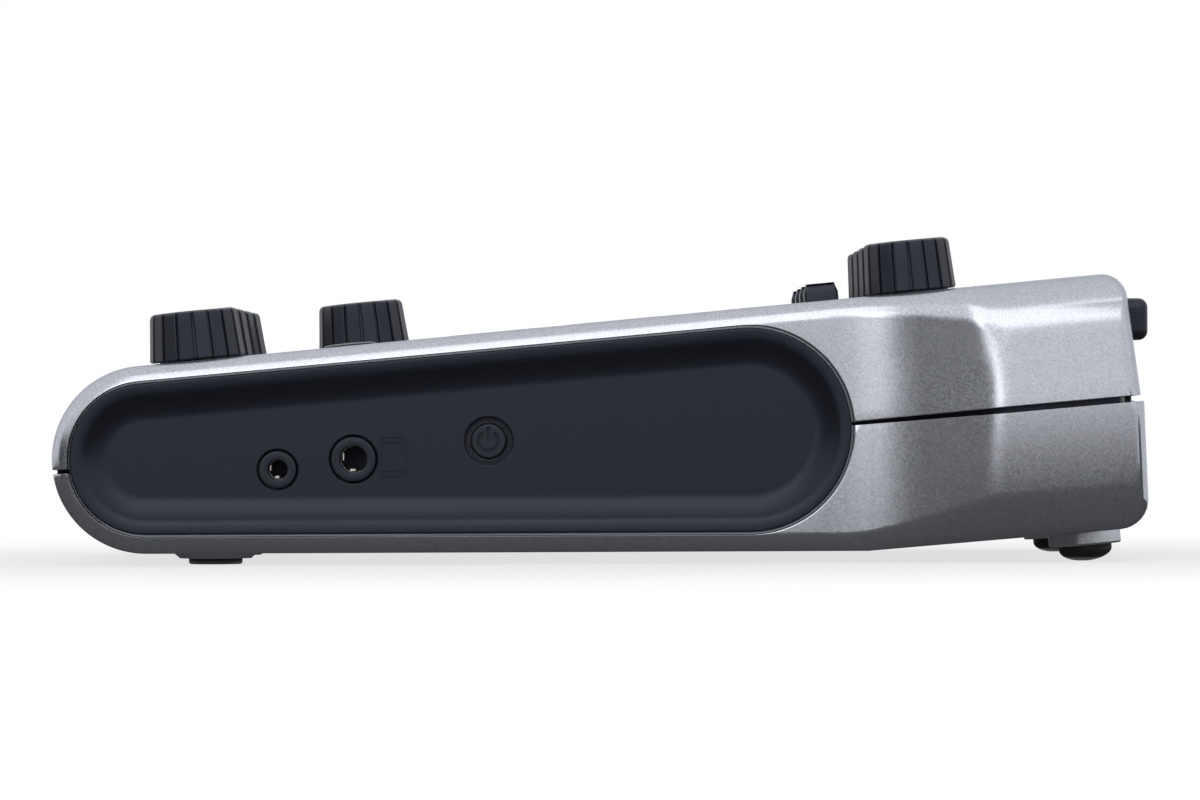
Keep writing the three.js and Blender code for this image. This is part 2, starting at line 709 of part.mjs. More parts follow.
const usbOutline = roundedBox(usb.width, usb.height, usb.corner);
const usbFace = panelFloorX + jackProud;
const usbShell = stack(usbOutline, [[usbFace - usb.depth, 0], [usbFace, 0]]);
const usbBore = stack(usbOutline, [[usbFace - usb.bore, usb.skin], [usbFace + overrun, usb.skin]]);
const usbTongue = box(-usb.width * tongueShares.width / 2, usb.width * tongueShares.width / 2,
  -usb.height * tongueShares.height / 2, usb.height * tongueShares.height / 2,
  usbFace - usb.depth + usb.skin, usbFace - usb.skin);
const usbSolid = solidOf(usbShell).subtract(solidOf(usbBore)).add(solidOf(usbTongue));
const usbPlace = new THREE.Matrix4().makeTranslation(alongPanel(usb.share), usb.z, 0);
add(recorder, 'usb_socket', solidOf(geometryOf(usbSolid).applyMatrix4(usbPlace.premultiply(toLeft))),
  contactNickel);
const usbHole = sideHole(usbOutline, usb, 0, toLeft);

const cardOutline = roundedBox(cardSlot.width, cardSlot.height, cardSlot.corner);
const mouthOutline = roundedBox(cardMouth.width, cardMouth.height, cardSlot.corner / 2);
const cardBody = stack(cardOutline, [[usbFace - cardSlot.depth, 0], [usbFace, 0]]);
const cardBore = stack(mouthOutline, [[usbFace - cardMouth.depth, 0], [usbFace + overrun, 0]]);
const cardSolid = solidOf(cardBody).subtract(solidOf(cardBore));
const cardPlace = new THREE.Matrix4().makeTranslation(alongPanel(cardSlot.share), cardSlot.z, 0);
add(recorder, 'card_slot', solidOf(geometryOf(cardSolid).applyMatrix4(cardPlace.premultiply(toLeft))),
  socketPlastic);
const cardHole = sideHole(cardOutline, cardSlot, 0, toLeft);

add(recorder, 'side_panel_right',
  cut(panelSolid(toRight), [...sideJackCutters, powerRecess, powerHole]), panelPlastic);
add(recorder, 'side_panel_left', cut(panelSolid(toLeft), [usbHole, cardHole]), panelPlastic);
const pockets = [toRight, toLeft].map((toSide) => solidOf(
  stack(panelOutline, [[pocketX, -gap], [frontHalfWidth + overrun, -gap]]).applyMatrix4(toSide),
));

// Headphone jacks, one under each volume knob
const noseFaceY = -halfDepth + headphoneJack.sink;
const noseCollar = -noseFaceY - (noseRadius - wall - noseY) + 2 * gap;
function noseJack(x, grown) {
  const matrix = new THREE.Matrix4().makeTranslation(x, noseFaceY, headphoneJack.z).multiply(toNose);
  return solidOf(geometryOf(jackSolid(headphoneJack, noseCollar, grown)).applyMatrix4(matrix));
}
columns.forEach((x, at) => {
  add(recorder, `headphone_jack_${at + 1}`, noseJack(x, 0), socketPlastic);
});
const noseCutters = columns.map((x) => noseJack(x, gap));

// Microphone sockets and their latches
const latchHigh = deckMiddleZ + halfDepth * Math.tan(deckAngle) - latch.drop;
const latchLow = latchHigh - latch.height;
const socketZ = latchLow - socketBore.radius;
function latchBlock(grown, fromY, toY) {
  return box(-latch.width / 2 - grown, latch.width / 2 + grown, fromY, toY,
    latchLow - grown, latchHigh + grown);
}

const socketFaceY = halfDepth - socket.setback;
const socketDepth = socketFaceY - gainBoard.rear - socket.boardClearance;
const boreDepth = socketDepth - socketBore.floor;
const housingRear = halfDepth - latchHousing.setback;
const latchWellY = halfDepth - latch.length - latchTravel - gap;
function socketSolid() {
  const profile = [
    [0, -socketDepth],
    [socket.radius, -socketDepth],
    [socket.radius, 0],
    [socketBore.radius, 0],
    [socketBore.radius, -boreDepth],
    [socketBore.insert, -boreDepth],
    [socketBore.insert, -socketBore.sink],
    [0, -socketBore.sink],
  ].map(([radius, height]) => new THREE.Vector2(radius, height));
  const barrel = solidOf(new THREE.LatheGeometry(profile, roundSides).translate(0, socketFaceY, socketZ));
  const housing = solidOf(box(-latchHousing.width / 2, latchHousing.width / 2,
    latchWellY - latchHousing.side, housingRear, latchLow, latchHigh));
  const pins = pinAngles.map((angle) => {
    const hole = stack(round(socketPin.radius, smallSides), [
      [socketFaceY - boreDepth + socketPin.floor, 0],
      [socketFaceY + overrun, 0],
    ]);
    const [x, z] = [Math.cos(angle) * socketPin.place, Math.sin(angle) * socketPin.place];
    return solidOf(hole.applyMatrix4(toRear).translate(x, 0, socketZ + z));
  });
  const well = solidOf(latchBlock(gap, latchWellY, halfDepth + overrun));
  return cut(barrel.add(housing), [...pins, well]);
}

function latchSolid() {
  const outline = roundedBox(latch.width, latch.height, latch.corner);
  const middle = latchLow + latch.height / 2;
  const front = halfDepth;
  const tab = stack(outline, [
    [front - latch.length, 0],
    [front - latch.rounding, 0],
    [front - latch.rounding / 3, latch.rounding / 3],
    [front, latch.rounding],
  ]);
  return solidOf(tab.applyMatrix4(toRear).translate(0, 0, middle));
}

function socketCutters(x) {
  const barrel = stack(round(socket.radius + gap), [
    [socketFaceY - socketDepth - gap, 0],
    [socketFaceY + overrun, 0],
  ]);
  return [
    barrel.applyMatrix4(toRear).translate(x, 0, socketZ),
    latchBlock(gap, housingRear, halfDepth + overrun).translate(x, 0, 0),
  ].map(solidOf);
}
columns.forEach((x, at) => {
  add(recorder, `microphone_socket_${at + 1}`, socketSolid(), socketPlastic).position.x = x;
  add(recorder, `socket_latch_${at + 1}`, latchSolid(), socketPlastic).position.x = x;
});
const rearCutters = columns.flatMap(socketCutters);

// Battery bay: cells side by side, a contact plate at each end, a door flush with the underside
const bayY = bayShare * halfDepth;
const doorTop = undersideHeight + doorThickness;
const cellZ = doorTop + gap + cell.radius;
const cellPitch = 2 * cell.radius + gap;
const bayHalfLength = cell.length / 2 + contact.thickness + 2 * gap;
const bayHalfDepth = cellPitch / 2 + cell.radius + gap;
const bayTop = cellZ + cell.radius + gap;

function cellSolid() {
  const profile = [
    [0, -cell.length / 2],
    [cell.radius, -cell.length / 2],
    [cell.radius, cell.length / 2 - cell.nubHeight],
    [cell.nub, cell.length / 2 - cell.nubHeight],
    [cell.nub, cell.length / 2],
    [0, cell.length / 2],
  ].map(([radius, height]) => new THREE.Vector2(radius, height));
  return solidOf(new THREE.LatheGeometry(profile, footSides));
}
[[-0.5, 1], [0.5, -1]].forEach(([rowShare, turned], at) => {
  const mesh = add(recorder, `battery_${at + 1}`, cellSolid(), cellWrap);
  mesh.rotation.z = (turned * Math.PI) / 2;
  mesh.position.set(0, bayY + rowShare * cellPitch, cellZ);
});
[['battery_contact_left', -1], ['battery_contact_right', 1]].forEach(([name, side]) => {
  const plate = box(-contact.thickness / 2, contact.thickness / 2, -bayHalfDepth + gap, bayHalfDepth - gap,
    -contact.height / 2, contact.height / 2);
  const mesh = add(recorder, name, solidOf(plate), contactNickel);
  mesh.position.set(side * (bayHalfLength - gap - contact.thickness / 2), bayY, cellZ);
});
const doorSolid = solidOf(box(-bayHalfLength + gap, bayHalfLength - gap, -bayHalfDepth + gap,
  bayHalfDepth - gap, undersideHeight, doorTop));
add(recorder, 'battery_door', doorSolid, silverPaint).position.y = bayY;
const bayBox = solidOf(box(-bayHalfLength - bayWall, bayHalfLength + bayWall, -bayHalfDepth - bayWall,
  bayHalfDepth + bayWall, undersideHeight + wall / 2, bayTop + bayWall).translate(0, bayY, 0));
const bayRoom = solidOf(box(-bayHalfLength, bayHalfLength, -bayHalfDepth, bayHalfDepth,
  undersideHeight - overrun, bayTop).translate(0, bayY, 0));

// Feet: flat rubber pads in front, rubber domes on bosses under the heel
const plinthZ = frontFoot.rubberHeight;
const plinthOutline = round(frontFoot.plinthTop);
const frontFootY = frontFoot.setback - halfDepth;
const bossY = (halfDepth - rearFoot.setback - heelY) / Math.cos(heelAngle);
const plinths = [-1, 1].flatMap((side) => [
  solidOf(stack(plinthOutline, [
    [plinthZ, frontFoot.plinthTop - frontFoot.plinthBottom],
    [undersideHeight, 0],
    [undersideHeight + wall / 2, 0],
  ]).translate(side * footX, frontFootY, 0)),
  solidOf(stack(round(rearFoot.boss), [[-rearFoot.bossHeight, 0], [wall / 2, 0]])
    .translate(side * footX, bossY, 0).applyMatrix4(
      new THREE.Matrix4().makeRotationX(heelAngle).setPosition(0, heelY, undersideHeight),
    )),
]);

const deskGround = solidOf(box(-rearHalfWidth, rearHalfWidth, -halfDepth, halfDepth, -overrun, 0));
function rearFootSolid(side) {
  const profile = [[0, 0], [rearFoot.rubber, 0], [rearFoot.rubber, -rearFoot.rim]];
  for (let step = 1; step <= domeSteps; step += 1) {
    const angle = (step / domeSteps) * (Math.PI / 2);
    profile.push([
      step === domeSteps ? 0 : rearFoot.rubber * Math.cos(angle),
      -rearFoot.rim - (rearFoot.domeHeight - rearFoot.rim) * Math.sin(angle),
    ]);
  }
  const dome = new THREE.LatheGeometry(profile.map(([x, y]) => new THREE.Vector2(x, y)), footSides);
  const matrix = new THREE.Matrix4().makeRotationX(heelAngle).setPosition(0, heelY, undersideHeight);
  matrix.multiply(new THREE.Matrix4().makeTranslation(side * footX, bossY, -rearFoot.bossHeight));
  return solidOf(dome.rotateX(Math.PI / 2).applyMatrix4(matrix)).subtract(deskGround);
}
[['left', -1], ['right', 1]].forEach(([word, side]) => {
  const disc = stack(round(frontFoot.rubber, footSides), [[0, footChamfer], [footChamfer, 0], [plinthZ, 0]]);
  const mesh = add(recorder, `front_foot_${word}`, solidOf(disc), footRubber);
  mesh.position.set(side * footX, frontFootY, 0);
  add(recorder, `rear_foot_${word}`, rearFootSolid(side), footRubber);
});

// Screw pits in the underside
const screwPits = screwShares.flatMap(([acrossShare, alongShare]) => [-1, 1].map((side) => {
  const x = acrossShare * frontHalfWidth;
  const y = alongShare * halfDepth;
  const z = undersideHeight + Math.max(y - heelY, 0) * Math.tan(heelAngle) + screwPit.depth;
  const pit = stack(round(screwPit.radius, smallSides), [[-overrun, 0], [z, 0]]);
  return solidOf(pit.translate(side * x, y, 0));
}));

// Shells
const halfGroove = partingGroove / 2;
const shaftHoles = [...volumePlaces, levelPlace, ...gainPlaces].map(([x, y]) => (
  deckHole(round(shaftRadius, smallSides), x, y)
));
const buttonHoles = [
  ...mutePlaces.map(([x, y]) => deckHole(muteOutline, x, y)),
  ...padPlaces.map(([x, y]) => deckHole(padOutline, x, y)),
  ...transportPlaces.map(([x, y]) => deckHole(transportOutline, x, y)),
  ...switchPlaces.map(([x, y]) => deckHole(slotOutline, x, y)),
];
const posts = [-1, 1].flatMap((side) => [levelRow, muteRow].map((y) => {
  const post = stack(round(postRadius, smallSides), [[boardTop + gap, 0], [-wall / 2, 0]]);
  return solidOf(post.translate(side * columnPitch, y, 0).applyMatrix4(onDeck));
}));
const socketHoles = [...sideJackCutters, powerStemHole, usbHole, cardHole, ...noseCutters, ...rearCutters];

const upperShell = bodySolid(0, () => 0, upperRearY, edgeSteps)
  .subtract(hollow(0))
  .intersect(overParting(halfGroove));
add(recorder, 'upper_shell', cut(joined([upperShell, ...posts]),
  [...pockets, ...shaftHoles, ...buttonHoles, ...windowCutters, ...socketHoles, powerHole]), silverPaint);

const lip = joined([
  hollow(-gap).subtract(overParting(-halfGroove)),
  hollow(gap).subtract(overParting(lipHeight)),
]).subtract(hollow(gap + lipThickness)).intersect(overParting(-lipHeight));
const lowerShell = bodySolid(0, () => 0, lowerRearY, edgeSteps)
  .subtract(hollow(0))
  .subtract(overParting(-halfGroove));
add(recorder, 'lower_shell', cut(joined([lowerShell, lip, bayBox, ...plinths]),
  [...pockets, bayRoom, ...screwPits, ...socketHoles, powerHole]), silverPaint);

export default recorder;
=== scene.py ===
# %% [markdown]
# # A podcast recorder in Blender
#
# The recorder is a wedge of silver-painted plastic with a rolled nose, dished dark panels let into both
# sides, ribbed dials, rubber pads and four microphone sockets behind. Its working parts come from a packed
# model, which is loaded as a fixed frame. Each cell below dresses one part of it: a detailed mesh takes the
# place of the frame's plain solid and rides on the same body, so it moves when that body moves.

# %% Load the frame
import math

import bmesh
import bpy
from mathutils import Matrix, Vector


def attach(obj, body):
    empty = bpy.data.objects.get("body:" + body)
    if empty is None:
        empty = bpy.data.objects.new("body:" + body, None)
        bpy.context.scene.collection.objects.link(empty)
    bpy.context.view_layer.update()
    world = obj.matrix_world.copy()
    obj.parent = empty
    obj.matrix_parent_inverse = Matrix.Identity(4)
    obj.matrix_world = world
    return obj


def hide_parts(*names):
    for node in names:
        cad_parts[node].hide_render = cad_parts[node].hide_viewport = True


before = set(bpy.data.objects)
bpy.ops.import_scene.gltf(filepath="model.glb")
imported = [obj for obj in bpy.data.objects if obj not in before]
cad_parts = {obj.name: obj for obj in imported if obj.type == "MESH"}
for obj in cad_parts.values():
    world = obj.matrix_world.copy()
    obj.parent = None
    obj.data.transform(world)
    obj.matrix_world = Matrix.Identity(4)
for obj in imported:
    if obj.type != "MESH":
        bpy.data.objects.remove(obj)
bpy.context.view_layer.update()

# %% [markdown]
# ## The camera
#
# The photograph is a side view taken with a long lens from a little over a metre away, almost level with
# the deck's middle. A wide lens up close would show the far knobs much smaller than the near ones, so the
# distance matters as much as the angle. The camera also leans a quarter of a degree, as the real one did.

# %% The camera
mm = 0.001
degree = math.pi / 180
camera_place = (1.246, -0.17 * mm, 23.34 * mm)
camera_lean = 0.237 * degree
camera_data = bpy.data.cameras.new("side_view")
camera_data.lens = 252.54
camera_data.sensor_width = 36
camera_data.clip_start = 0.05
camera = bpy.data.objects.new("side_view", camera_data)
bpy.context.scene.collection.objects.link(camera)
to_right = Matrix(((0, 0, 1), (1, 0, 0), (0, 1, 0))).to_4x4()
camera.matrix_world = (Matrix.Translation(camera_place) @ to_right
                       @ Matrix.Rotation(-camera_lean, 4, "Z"))
bpy.context.scene.camera = camera
print("camera looks along", tuple(round(part, 3) for part in -camera.matrix_world.col[2].xyz))

# %% [markdown]
# ## Sizes
#
# Every mesh below is made at its real size, written in millimetres and turned into metres by the factor mm.
# The frame was cut from nearly the same sizes. Only the flare is a little longer here and the shoulder
# rounder, as the highlights on the real coat show. Setbacks are measured from the rearmost edge.

# %% Sizes of the body
gap = 0.3 * mm
overrun = 3 * mm
half_depth = 78.25 * mm
underside_height = 1.7 * mm
nose_radius = 13.4 * mm
deck_angle = 5.21 * degree
heel_setback = 40.25 * mm
heel_angle = 4.7 * degree
upper_rear_setback = 1.5 * mm
lower_rear_setback = 1.1 * mm
upper_rear_lean = 7.5 * degree
lower_rear_lean = -2.4 * degree
rear_top_radius = 3.6 * mm
rear_bottom_radius = 4.2 * mm
front_half_width = 50.5 * mm
rear_half_width = 56 * mm
flare_setback = 46.25 * mm
flare_length = 26 * mm
edge_radius = 2.8 * mm
shoulder_radius = 7 * mm
wall = 2 * mm
side_wall = 5.6 * mm
rear_side_wall = 2.2 * mm
parting_nose_z = 13.35 * mm
parting_knee_setback = 42.65 * mm
parting_knee_z = 19.8 * mm
parting_rear_z = 23.45 * mm
lip_height = 1.5 * mm
lip_thickness = 1 * mm

heel_y = half_depth - heel_setback
upper_rear_y = half_depth - upper_rear_setback
lower_rear_y = half_depth - lower_rear_setback
flare_start_y = half_depth - flare_setback
parting_knee_y = half_depth - parting_knee_setback
nose_y = nose_radius - half_depth
nose_z = underside_height + nose_radius
deck_middle_z = nose_z + nose_radius / math.cos(deck_angle) - nose_y * math.tan(deck_angle)
parting_rear_slope = (parting_rear_z - parting_knee_z) / (half_depth - parting_knee_y)
parting_at_rear_z = parting_knee_z + (upper_rear_y - parting_knee_y) * parting_rear_slope
inner_half_width = front_half_width - side_wall
print("the deck's middle is", round(deck_middle_z / mm, 2), "mm above the desk")

# %% Places of the controls
column_pitch = 25.8 * mm
columns = [share * column_pitch for share in (-1.5, -0.5, 0.5, 1.5)]
volume_row, level_row, control_row, mute_row, switch_row, gain_row = (
    share * half_depth for share in (-0.7412, -0.4626, -0.0856, 0.2581, 0.4064, 0.57))

on_deck = Matrix.Translation((0, 0, deck_middle_z)) @ Matrix.Rotation(deck_angle, 4, "X")
on_heel = Matrix.Translation((0, heel_y, underside_height)) @ Matrix.Rotation(heel_angle, 4, "X")
to_left = Matrix.Scale(-1, 4, (1, 0, 0)) @ to_right
to_rear = Matrix.Rotation(-math.pi / 2, 4, "X")
to_nose = Matrix.Rotation(math.pi / 2, 4, "X")
face_down = Matrix.Rotation(math.pi, 4, "X")


def at(x, y, z=0.0):
    """A move without a turn."""
    return Matrix.Translation((x, y, z))


def in_mm(**sizes):
    """The sizes of one piece, in metres."""
    return {name: size * mm for name, size in sizes.items()}


print("columns at", [round(x / mm, 1) for x in columns], "mm")

# %% [markdown]
# ## Making shapes
#
# Nearly all pieces start as a flat plate or disc that is raised through levels, each with its own height
# and inset. One operator, inset_region, can raise, shrink and grow a face at the same time, so a rounded
# edge is only a few levels whose heights and insets follow a quarter circle. Round pieces such as sockets
# and feet are profiles spun about an axis instead. Both ways give closed solids with faces all the way.

# %% Flat starts
weld = 0.001 * mm


def bar(width, length):
    shape = bmesh.new()
    bmesh.ops.create_grid(shape, x_segments=1, y_segments=1, size=0.5)
    bmesh.ops.scale(shape, verts=shape.verts, vec=(width, length, 1))
    return shape


def rounded_plate(width, length, corner, steps=6):
    """A flat plate with four round corners."""
    shape = bar(width, length)
    bmesh.ops.bevel(shape, geom=shape.verts[:], offset=corner, offset_type="OFFSET", affect="VERTICES",
                    segments=steps, profile=0.5, material=-1)
    return shape


def disc(radius, sides=48):
    shape = bmesh.new()
    bmesh.ops.create_circle(shape, cap_ends=True, segments=sides, radius=radius)
    return shape


def polygon(corners):
    shape = bmesh.new()
    shape.faces.new([shape.verts.new((x, y, 0)) for x, y in corners]).normal_update()
    return shape


# %% Raising a plate through levels
def pile(shape, levels):
    """Raises a flat face through levels of (height, inset) and closes the foot."""
    shape.faces.ensure_lookup_table()
    top = shape.faces[0]
    if top.normal.z < 0:
        top.normal_flip()
    past_height, past_inset, foot = 0, 0, None
    for height, inset in levels:
        ring = bmesh.ops.inset_region(shape, faces=[top], use_boundary=True, use_even_offset=True,
                                      thickness=inset - past_inset, depth=height - past_height)
        foot = foot or ring["faces"]
        past_height, past_inset = height, inset
    bmesh.ops.delete(shape, geom=foot, context="FACES")
    rim = [edge for edge in shape.edges if edge.is_boundary]
    bmesh.ops.holes_fill(shape, edges=rim, sides=0)
    bmesh.ops.recalc_face_normals(shape, faces=shape.faces)
    return shape


def rounding(height, radius, inset=0.0, outward=False, steps=4):
    """Levels of a quarter round that ends flat at a height. Outward, it flares like a hole's mouth."""
    sign = -1 if outward else 1
    turns = [step / steps * math.pi / 2 for step in range(steps + 1)]
    return [(height - radius * (1 - math.sin(turn)), inset + sign * radius * (1 - math.cos(turn)))
            for turn in turns]


sample = pile(rounded_plate(10 * mm, 6 * mm, 2 * mm), [(0, 0), *rounding(3 * mm, 0.5 * mm)])
print("a sample plate:", len(sample.faces), "faces, volume",
      round(sample.calc_volume() / mm ** 3, 1), "cubic mm")
sample.free()

# %% Flat shapes with a thickness
def raised(shape, low, high):
    """Gives any flat faces, also open rings, a thickness from a low height to a high one."""
    bmesh.ops.recalc_face_normals(shape, faces=shape.faces)
    grown = bmesh.ops.extrude_face_region(shape, geom=shape.faces[:], use_keep_orig=True)
    tops = [item for item in grown["geom"] if isinstance(item, bmesh.types.BMVert)]
    bmesh.ops.translate(shape, verts=tops, vec=(0, 0, high))
    feet = [vert for vert in shape.verts if vert not in set(tops)]
    bmesh.ops.translate(shape, verts=feet, vec=(0, 0, low))
    bmesh.ops.recalc_face_normals(shape, faces=shape.faces)
    return shape


# %% Spinning a profile
def turned(profile, sides=48):
    """Spins (radius, height) points that start and end on the axis, or form a ring, into a solid."""
    shape = bmesh.new()
    points = [shape.verts.new((radius, 0, height)) for radius, height in profile]
    edges = [shape.edges.new(pair) for pair in zip(points, points[1:])]
    if profile[0][0] > 0:
        edges.append(shape.edges.new((points[-1], points[0])))
    bmesh.ops.spin(shape, geom=points + edges, cent=(0, 0, 0), axis=(0, 0, 1), angle=math.tau,
                   steps=sides, use_merge=True)
    bmesh.ops.remove_doubles(shape, verts=shape.verts, dist=weld)
    bmesh.ops.recalc_face_normals(shape, faces=shape.faces)
    return shape


def quarter(centre_radius, centre_height, radius, start):
    """Points of a quarter circle in a profile, counted anticlockwise from an angle."""
    steps = 4
    turns = [(start + 90 * step / steps) * degree for step in range(steps + 1)]
    return [(centre_radius + radius * math.cos(turn), centre_height + radius * math.sin(turn))
            for turn in turns]


# %% Placing and grouping
def placed(shape, matrix):
    """Moves a shape for good. A mirrored one gets its faces turned outward again."""
    bmesh.ops.transform(shape, matrix=matrix, verts=shape.verts)
    if matrix.determinant() < 0:
        bmesh.ops.reverse_faces(shape, faces=shape.faces)
    return shape


def together(shapes):
    """Several shapes as the loose parts of one."""
    whole, *others = shapes
    for other in others:
        carrier = bpy.data.meshes.new("carrier")
        other.to_mesh(carrier)
        other.free()
        whole.from_mesh(carrier)
        bpy.data.meshes.remove(carrier)
    return whole


def as_object(name, shape):
    mesh = bpy.data.meshes.new(name)
    shape.to_mesh(mesh)
    shape.free()
    made = bpy.data.objects.new(name, mesh)
    bpy.context.scene.collection.objects.link(made)
    return made


# %% Joining, cutting and rounding
def combined(shape, operation, others):
    """A solid joined with others, cut by them or kept only inside them, one after another."""
    holder, *tools = [as_object("stand_in", part) for part in (shape, *others)]
    for tool in tools:
        change = holder.modifiers.new("change", "BOOLEAN")
        change.operation = operation
        change.solver = "MANIFOLD"
        change.object = tool
    result = bmesh.new()
    result.from_object(holder, bpy.context.evaluated_depsgraph_get())
    for made in (holder, *tools):
        mesh = made.data
        bpy.data.objects.remove(made)
        bpy.data.meshes.remove(mesh)
    return result


def cut(shape, others):
    return combined(shape, "DIFFERENCE", others)


def soften(shape, width, chosen):
    """Rounds the sharp ones among the chosen edges of a shape."""
    sharp = 50 * degree
    edges = [edge for edge in shape.edges
             if edge.is_manifold and edge.calc_face_angle() > sharp and chosen(edge)]
    bmesh.ops.bevel(shape, geom=edges, offset=width, offset_type="OFFSET", affect="EDGES",
                    segments=2, profile=0.5, material=-1, clamp_overlap=True)
    return shape


# %% [markdown]
# ## Finishes
#
# A finish is a material whose colour, roughness and fine relief change over the surface. Its sums are
# written as plain expressions: a Signal wraps a node's output, and adding or multiplying signals adds the
# Math nodes. Patterns are read from Object coordinates, which are the piece's own metres, so they have a
# real size and stay put when a piece moves.

# %% Shader sums as expressions
def sum_step(operation, swapped=False):
    """An operator that adds a Math node. Swapped, it has the signal on its right."""
    def step(self, other):
        first, second = (other, self) if swapped else (self, other)
        return self.finish.node("ShaderNodeMath", {"operation": operation}, {0: first, 1: second})
    return step


class Signal:
    """A node's output in an expression."""

    def __init__(self, finish, socket):
        self.finish = finish
        self.socket = socket

    __add__, __radd__ = sum_step("ADD"), sum_step("ADD", True)
    __sub__, __rsub__ = sum_step("SUBTRACT"), sum_step("SUBTRACT", True)
    __mul__, __rmul__ = sum_step("MULTIPLY"), sum_step("MULTIPLY", True)
    __gt__, __lt__ = sum_step("GREATER_THAN"), sum_step("LESS_THAN")

    def __abs__(self):
        return self.finish.node("ShaderNodeMath", {"operation": "ABSOLUTE"}, {0: self})


# %% A material with one Principled shader
finishes = {}


class Finish:
    def __init__(self, name, **constants):
        self.material = finishes[name] = bpy.data.materials.new(name)
        self.material.use_nodes = True
        self.tree = self.material.node_tree
        self.shader = self.tree.nodes["Principled BSDF"]
        self.set(**constants)
        self.place = self.node("ShaderNodeTexCoord", {}, {}, "Object")

    def feed(self, socket, value):
        if isinstance(value, Signal):
            self.tree.links.new(value.socket, socket)
        else:
            socket.default_value = value

    def node(self, kind, settings, inputs, output=0):
        """Any other node: its type, its settings and its sockets' values or links."""
        made = self.tree.nodes.new(kind)
        for setting, value in settings.items():
            setattr(made, setting, value)
        for name, value in inputs.items():
            self.feed(made.inputs[name], value)
        return Signal(self, made.outputs[output])

    def set(self, **values):
        """Feeds the shader's sockets, as in set(Base_Color=..., Roughness=...)."""
        for name, value in values.items():
            self.feed(self.shader.inputs[name.replace("_", " ")], value)

    def noise(self, grain, detail=2.0):
        """Soft noise with features of about the grain's size, from 0 to 1."""
        inputs = {"Vector": self.place, "Scale": 1 / grain, "Detail": detail}
        return self.node("ShaderNodeTexNoise", {}, inputs, "Fac")

    def cells(self, grain):
        """A random value for each small cell."""
        inputs = {"Vector": self.place, "Scale": 1 / grain}
        color = self.node("ShaderNodeTexVoronoi", {}, inputs, "Color")
        return self.node("ShaderNodeSeparateColor", {}, {"Color": color}, "Red")

    def axis(self, name):
        return self.node("ShaderNodeSeparateXYZ", {}, {"Vector": self.place}, name)

    def blend(self, factor, first, second):
        """A colour between two, mixed by a signal."""
        inputs = {0: factor, 6: first, 7: second}
        return self.node("ShaderNodeMix", {"data_type": "RGBA"}, inputs, 2)

    def relief(self, height, depth):
        """Small bumps, as deep as they really are."""
        self.set(Normal=self.node("ShaderNodeBump", {}, {"Height": height, "Distance": depth}, "Normal"))


def grey(level):
    return (level, level, level, 1)


# %% [markdown]
# ### Silver paint
#
# The cases are moulded plastic under a metallic coat. Close up the paint is full of flakes a fifth of a
# millimetre across that catch the light at random, and lie a little unevenly. The shader is nearly
# all metal, so that its tone comes from what it mirrors, as on the real coat: bright where it faces the
# lights and dark where it looks down or aside. Its roughness blurs the lights into soft bands.

# %% Silver paint
silver = Finish("silver_paint", IOR=1.5, Specular_Tint=(0.62, 0.64, 0.69, 1))
flake_size = 0.2 * mm
flake_relief = 0.0007 * mm
cloud_size = 9 * mm
flake = silver.cells(flake_size)
cloud = silver.noise(cloud_size, detail=3)
silver.set(
    Metallic=0.93,
    Base_Color=silver.blend(flake, (0.425, 0.44, 0.485, 1), (0.53, 0.55, 0.60, 1)),
    Roughness=0.215 + flake * 0.04 + cloud * 0.02,
)
silver.relief(flake + cloud, flake_relief)
print("silver paint:", len(silver.tree.nodes), "nodes")

# %% [markdown]
# ### Moulded plastics, rubbers and inks
#
# The dark parts differ in texture more than in colour. The side panels and dials have a fine spark-eroded
# grain that turns highlights into a satin sheen. The small keys are smoother, and the feet and pads are
# rubber, which is rough and slightly dusty. One function makes them all, with the grain as its argument.
# The dark plastics also mirror a little bluer than they are lit, which gives them their cool tone.

# %% Plastics, rubbers and inks
def moulded(name, color, roughness, grain, depth, dust, **constants):
    """A plain moulding with a fine grain. Dust lightens it a little in patches."""
    dust_tone = 0.25
    spread = 0.06
    patch_size = 12 * mm
    made = Finish(name, IOR=1.47, **constants)
    fine = made.noise(grain * mm, detail=3)
    patch = made.noise(patch_size, detail=4)
    lighter = tuple(part + dust * (dust_tone - part) for part in color) + (1,)
    made.set(
        Base_Color=made.blend(patch * 0.6 + fine * 0.4, (*color, 1), lighter),
        Roughness=roughness - spread / 2 + patch * spread + fine * 0.04,
    )
    made.relief(fine, depth * mm)


cool = {"Specular_Tint": (0.72, 0.80, 1.0, 1)}
moulded("panel_plastic", (0.0066, 0.0078, 0.0136), 0.38, 0.16, 0.004, dust=0.01, **cool)
moulded("knob_plastic", (0.012, 0.013, 0.019), 0.42, 0.14, 0.004, dust=0.02, **cool)
moulded("cap_plastic", (0.009, 0.010, 0.015), 0.34, 0.2, 0.002, dust=0.03, **cool)
moulded("pad_rubber", (0.115, 0.122, 0.133), 0.55, 0.12, 0.006, dust=0.12)
moulded("foot_rubber", (0.010, 0.010, 0.011), 0.62, 0.25, 0.012, dust=0.08)
moulded("socket_plastic", (0.008, 0.009, 0.014), 0.38, 0.3, 0.003, dust=0.03, **cool)
moulded("white_ink", (0.60, 0.61, 0.62), 0.5, 0.1, 0.002, dust=0.0)
moulded("red_ink", (0.42, 0.03, 0.025), 0.5, 0.1, 0.002, dust=0.0)
print("finishes:", ", ".join(finishes))

# %% Bright metal
nickel = Finish("contact_nickel", Metallic=1.0)
smear_size = 0.8 * mm
smear_relief = 0.004 * mm
smear = nickel.noise(smear_size, detail=4)
nickel.set(
    Base_Color=nickel.blend(smear, (0.52, 0.50, 0.45, 1), (0.72, 0.70, 0.65, 1)),
    Roughness=0.22 + smear * 0.16,
)
nickel.relief(smear, smear_relief)

